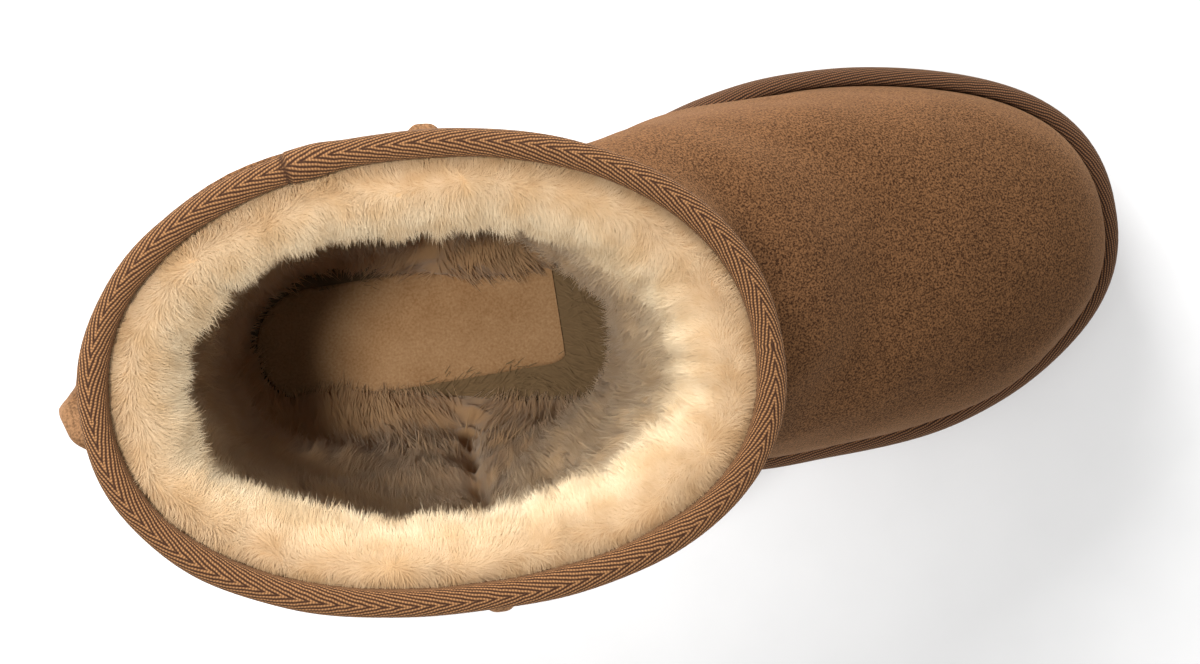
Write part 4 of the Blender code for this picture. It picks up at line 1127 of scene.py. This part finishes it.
def makeInsole():
    # a plate inside the foot of the wool, with a rounded upper edge
    sizes = footbedSizes
    inset = last["hide"] + last["gap"] + last["wool"] + 0.2
    grid = lastGrid(np.array([0.0, 0.25, 0.5]), woolSizes["counts"])
    outline = grid["plain"][0] - grid["normal"][0] * inset
    rings = []
    for rise, pull in ((0.0, 0.0), (0.75, 0.0), (0.93, 0.6), (1.0, 1.6)):
        xy = outline[:, :2] - grid["normal"][0][:, :2] * pull
        rings.append(np.column_stack([xy, soleTop(xy[:, 0]) + last["gap"] + last["insole"] * rise]))
    sides = np.array(rings)
    rows, count = sides.shape[:2]
    faces = sweptFaces(rows, count, closed=False).tolist()
    points = [sides.reshape(-1, 3)]
    start = rows * count
    shares = np.linspace(0, 1, 30)[1:-1]
    for ring, base, upward in ((sides[0], 0, False), (sides[-1], (rows - 1) * count, True)):
        plate, plateFaces = plateRows(ring, base, upward, start, shares)
        points.append(plate.reshape(-1, 3))
        faces += plateFaces
        start += plate.size // 3
    every = np.concatenate(points)
    up = every[:, 2] - soleTop(every[:, 0]) - last["gap"]
    bareEnd = sizes["patchStart"] + sizes["patchLength"] - sizes["bareShort"]
    underPatch = (every[:, 0] < bareEnd) & (np.abs(every[:, 1]) < sizes["bareHalf"])
    marks = {
        "density": (up > 7.5) & ~underPatch,
        # the bare base takes the strands' root colour: painted shade under the strands
        "tip": np.full(len(every), 0.1),
        "tone": np.full(len(every), 0.5),
        "comb": np.column_stack([np.ones(len(every)), 0.4 * np.sin(every[:, 0] / 9.0), np.zeros(len(every))]),
    }
    obj = meshPiece("woolInsole", every, faces, shadedFootbedWool, marks)
    values = {"Density": 1.0e6, "Length": 0.0042, "Width": 0.0004, "Rise": 0.5, "Lean": 0.7, "Clump": 0.6,
              "Frizz": 0.4, "Curl": 0.3, "Seed": 11, "Joints": 3, "Finish": shadedFootbedWool}
    strands = grownMesh(obj, woolTree, values, "woolInsoleStrands")
    finishPiece(obj, "fleece", "insole")
    finishPiece(strands, "fleece", "insole")


makeInsole()


def tanSuede():
    # Tan suede: fine split leather, no gloss, a close nap with faint clouds
    made, tree, shader = startMaterial("tanSuede", 0.93, sheen=0.2, sheenTint="#e2bd92", specular=0.12)
    coords = addNode(tree, "ShaderNodeTexCoord")
    nap = addNode(tree, "ShaderNodeTexNoise", {"Vector": (coords, "Object"), "Scale": 1500.0, "Detail": 3.0})
    clouds = addNode(tree, "ShaderNodeTexNoise", {"Vector": (coords, "Object"), "Scale": 60.0, "Detail": 2.0})
    both = addNode(tree, "ShaderNodeMix", {0: 0.45, 2: nap, 3: clouds})
    tone = addNode(tree, "ShaderNodeValToRGB", {"Fac": both})
    for stop, (at, colour) in zip(tone.color_ramp.elements, ((0.34, "#8d6742"), (0.66, "#ac8760"))):
        stop.position, stop.color = at, hexColour(colour)
    tree.links.new(tone.outputs[0], shader.inputs["Base Color"])
    bump = addNode(tree, "ShaderNodeBump", {"Height": nap, "Strength": 0.3, "Distance": 0.2 * mm})
    tree.links.new(bump.outputs[0], shader.inputs["Normal"])
    return made


tan = tanSuede()


def makePatch():
    sizes = footbedSizes
    start, steps, m = sizes["patchStart"], 60, 16
    share = (1 - np.cos(np.pi * np.arange(steps + 1) / steps)) / 2
    x = start + share * sizes["patchLength"]
    closing = np.minimum(share * sizes["patchLength"] / (sizes["patchWidth"] / 2), 1.0)
    half = sizes["patchWidth"] / 2 * np.sqrt(np.maximum(0.0, 1 - (1 - closing) ** 2))
    ahead = (1 - share) * sizes["patchLength"] / 5.0
    half = half * lerp(0.86, 1.0, np.sqrt(np.maximum(0.0, 1 - np.maximum(0.0, 1 - ahead) ** 2)))
    across = np.linspace(-1, 1, 2 * m + 1)
    layers = []
    for lift in (0.0, sizes["patchThickness"]):
        y = half[:, None] * across[None, :]
        rounded = lift * (1 - 0.45 * np.abs(across) ** 8)[None, :]
        z = soleTop(x)[:, None] + last["gap"] + last["insole"] + sizes["patchSeat"] + rounded
        layers.append(np.stack([np.broadcast_to(x[:, None], y.shape), y, np.broadcast_to(z, y.shape)], -1))
    wide = 2 * m + 1
    count = (steps + 1) * wide
    points = np.concatenate([layer.reshape(-1, 3) for layer in layers])
    faces = []
    for i in range(steps):
        for j in range(wide - 1):
            a, b = i * wide + j, (i + 1) * wide + j
            faces.append((a, a + 1, b + 1, b))
            faces.append((count + a, count + b, count + b + 1, count + a + 1))
        for a, b in ((i * wide, (i + 1) * wide), ((i + 1) * wide + wide - 1, i * wide + wide - 1)):
            faces.append((a, b, count + b, count + a))
    for j in range(wide - 1):
        a = steps * wide + j
        faces.append((a, a + 1, count + a + 1, count + a))
        faces.append((j + 1, j, count + j, count + j + 1))
    obj = meshPiece("heelPatch", points, faces, tan)
    obj.data.validate()
    return finishPiece(obj, "tan_suede", "insole_patch")


makePatch()
print("footbed laid")


# Heel counter: a suede overlay round the heel, with two rows of stitches

counterSizes = {
    "thickness": 1.5,
    "height": 56.0,
    "reach": 57.0,
    "rows": 40,
    "across": 90,
}


def counterEdge(height):
    # How far forward the counter reaches at this height over its foot
    front = counterSizes["height"] * 0.45
    share = np.clip((height - front) / (counterSizes["height"] - front), 0, 1)
    return counterSizes["reach"] * np.sqrt(np.maximum(0.0, 1 - share**2))


counterFoot = float(soleTop(0.0)) + last["gap"] + last["bandHeight"] + 0.6
rearRings = [i for i, v in enumerate(upperGrid["v"])
             if v >= 0.7 and upperGrid["plain"][i, 0, 2] < counterFoot + 75.0]


def onHeel(height, arc, out):
    # Points on the dressed upper at a height over the floor and an arc distance from the back, moved out
    found = np.zeros((len(rearRings), len(arc), 3))
    facing = np.zeros((len(rearRings), len(arc), 3))
    for row, i in enumerate(rearRings):
        order = np.argsort(upperGrid["back"][i])
        known = upperGrid["back"][i][order]
        for k in range(3):
            found[row, :, k] = np.interp(arc, known, upperOuter[i][order, k])
            facing[row, :, k] = np.interp(arc, known, upperGrid["normal"][i][order, k])
    made = np.zeros((len(arc), 3))
    for column in range(len(arc)):
        z = found[:, column, 2]
        place = np.array([np.interp(height[column], z, found[:, column, k]) for k in range(3)])
        turned = np.array([np.interp(height[column], z, facing[:, column, k]) for k in range(3)])
        made[column] = place + turned / np.linalg.norm(turned) * out
    return made


def arcAtX(height, x):
    # Arc distance from the back at which the upper reaches x, at this height, on the medial side
    best = min(rearRings, key=lambda i: abs(upperGrid["plain"][i, 0, 2] - height))
    half = upperGrid["back"][best] >= 0
    return float(np.interp(x, upperGrid["plain"][best][half][:, 0], upperGrid["back"][best][half]))


def makeCounter():
    sizes = counterSizes
    heights = np.linspace(0, 1, sizes["rows"]) ** 0.9 * sizes["height"]
    across = np.linspace(-1, 1, sizes["across"] + 1)
    outer, inner = [], []
    for height in heights:
        reach = arcAtX(counterFoot + height, counterEdge(height))
        arc = across * reach
        level = np.full(len(arc), counterFoot + height)
        near = np.clip((1 - np.abs(across)) * reach / 2.0, 0, 1)
        rim = min(1.0, (sizes["height"] - height) / 2.0)
        thick = last["gap"] + sizes["thickness"] * np.sqrt(np.clip(np.minimum(near, rim) + 0.15, 0, 1))
        outer.append(onHeel(level, arc, 0.0))
        inner.append(thick)
    grid = np.array(outer)
    thick = np.array(inner)
    du, dv = np.gradient(grid, axis=1), np.gradient(grid, axis=0)
    normal = np.cross(du, dv)
    normal /= np.linalg.norm(normal, axis=2, keepdims=True)
    outward = grid - np.array([60.0, 0.0, 60.0])
    normal *= np.sign(np.sum(normal * outward, axis=2).mean())
    front = grid + normal * thick[:, :, None]
    back = grid + normal * (last["gap"] * 0.5)
    rows, count = grid.shape[:2]
    points = np.concatenate([front.reshape(-1, 3), back.reshape(-1, 3)])
    total = rows * count
    i, j = np.arange(rows - 1)[:, None], np.arange(count - 1)[None, :]
    a = i * count + j
    quads = np.stack([a, a + 1, a + count + 1, a + count], -1).reshape(-1, 4)
    faces = quads.tolist() + (quads[:, ::-1] + total).tolist()
    for j in range(count - 1):
        faces.append((j + 1, j, total + j, total + j + 1))
        top = (rows - 1) * count
        faces.append((top + j, top + j + 1, total + top + j + 1, total + top + j))
    for i in range(rows - 1):
        faces.append((i * count, (i + 1) * count, total + (i + 1) * count, total + i * count))
        a, b = i * count + count - 1, (i + 1) * count + count - 1
        faces.append((b, a, total + a, total + b))
    # painted light and shade as on the upper: the counter lighter facing the medial side, darker lateral
    paintedSideLight = np.tile(normal[:, :, 1].ravel(), 2)
    obj = meshPiece("heelCounter", points, faces, suede, {"paintedSideLight": paintedSideLight}, sharpAngle=55)
    return finishPiece(obj, "suede", "heel_counter")


makeCounter()


def stitchTree():
    tree = bpy.data.node_groups.new("threadStitches", "GeometryNodeTree")
    tree.interface.new_socket("Geometry", in_out="INPUT", socket_type="NodeSocketGeometry")
    for name, value in {"Pitch": 0.0032, "Length": 0.0024, "Thread": 0.0007}.items():
        tree.interface.new_socket(name, in_out="INPUT", socket_type="NodeSocketFloat").default_value = value
    tree.interface.new_socket("Finish", in_out="INPUT", socket_type="NodeSocketMaterial")
    tree.interface.new_socket("Geometry", in_out="OUTPUT", socket_type="NodeSocketGeometry")
    given = addNode(tree, "NodeGroupInput")
    path = addNode(tree, "GeometryNodeMeshToCurve", {"Mesh": (given, "Geometry")})
    holes = addNode(tree, "GeometryNodeResampleCurve", {"Curve": path, "Length": (given, "Pitch")}, mode="LENGTH")
    heading = addNode(tree, "GeometryNodeInputTangent")
    turned = addNode(tree, "FunctionNodeAlignRotationToVector", {"Vector": heading}, axis="X")
    grain = addNode(tree, "GeometryNodeMeshUVSphere", {"Segments": 8, "Rings": 6, "Radius": 0.5})
    size = addNode(tree, "ShaderNodeCombineXYZ", {0: (given, "Length"), 1: (given, "Thread"), 2: (given, "Thread")})
    spread = addNode(tree, "GeometryNodeInstanceOnPoints",
                     {"Points": holes, "Instance": grain, "Rotation": turned, "Scale": size})
    real = addNode(tree, "GeometryNodeRealizeInstances", {"Geometry": spread})
    shown = addNode(tree, "GeometryNodeSetMaterial", {"Geometry": real, "Material": (given, "Finish")})
    addNode(tree, "NodeGroupOutput", {0: shown})
    return tree


def waxedThread():
    # Waxed polyester thread, twisted: a slight gloss on each twist
    made, tree, shader = startMaterial("waxedThread", 0.55, specular=0.4)
    coords = addNode(tree, "ShaderNodeTexCoord")
    twist = addNode(tree, "ShaderNodeTexNoise", {"Vector": (coords, "Object"), "Scale": 1800.0, "Detail": 1.0})
    tone = addNode(tree, "ShaderNodeMix", {"Factor": twist, 6: hexColour("#5a3a22"), 7: hexColour("#8a6040")},
                   data_type="RGBA")
    tree.links.new(tone.outputs[2], shader.inputs["Base Color"])
    bump = addNode(tree, "ShaderNodeBump", {"Height": twist, "Strength": 0.4, "Distance": 0.1 * mm})
    tree.links.new(bump.outputs[0], shader.inputs["Normal"])
    return made


thread = waxedThread()
stitches = stitchTree()


def stitchRow(paths, name, pitch=0.0033):
    points, edges, start = [], [], 0
    for path in paths:
        points.append(path)
        edges += [(start + k, start + k + 1) for k in range(len(path) - 1)]
        start += len(path)
    mesh = bpy.data.meshes.new(name + "Path")
    mesh.from_pydata(placed(np.concatenate(points)).tolist(), edges, [])
    guide = bpy.data.objects.new(name + "Path", mesh)
    scene.collection.objects.link(guide)
    made = grownMesh(guide, stitches, {"Pitch": pitch, "Length": pitch * 0.74, "Thread": 0.0008, "Finish": thread},
                     name, softened=0)
    bpy.data.objects.remove(guide)
    return finishPiece(made, "suede")


def counterStitches():
    sizes = counterSizes
    paths = []
    for inset in (2.4, 5.0):
        rise = np.linspace(0, sizes["height"] - inset, 60)
        path = []
        for height in rise:
            edge = arcAtX(counterFoot + height,
                          counterEdge(height + inset * smooth(height / 30.0) * 0.6)) - inset * 0.9
            path.append((height, max(edge, 0.0)))
        top = path[-1][1]
        path += [(sizes["height"] - inset, s) for s in np.linspace(top, 0, 24)[1:]]
        medial = np.array(path)
        both = np.concatenate([medial, (medial * [1, -1])[::-1][1:]])
        paths.append(onHeel(counterFoot + both[:, 0], both[:, 1], last["gap"] + sizes["thickness"] + 0.12))
    return stitchRow(paths, "counterStitches")


counterStitches()
print("heel counter stitched")
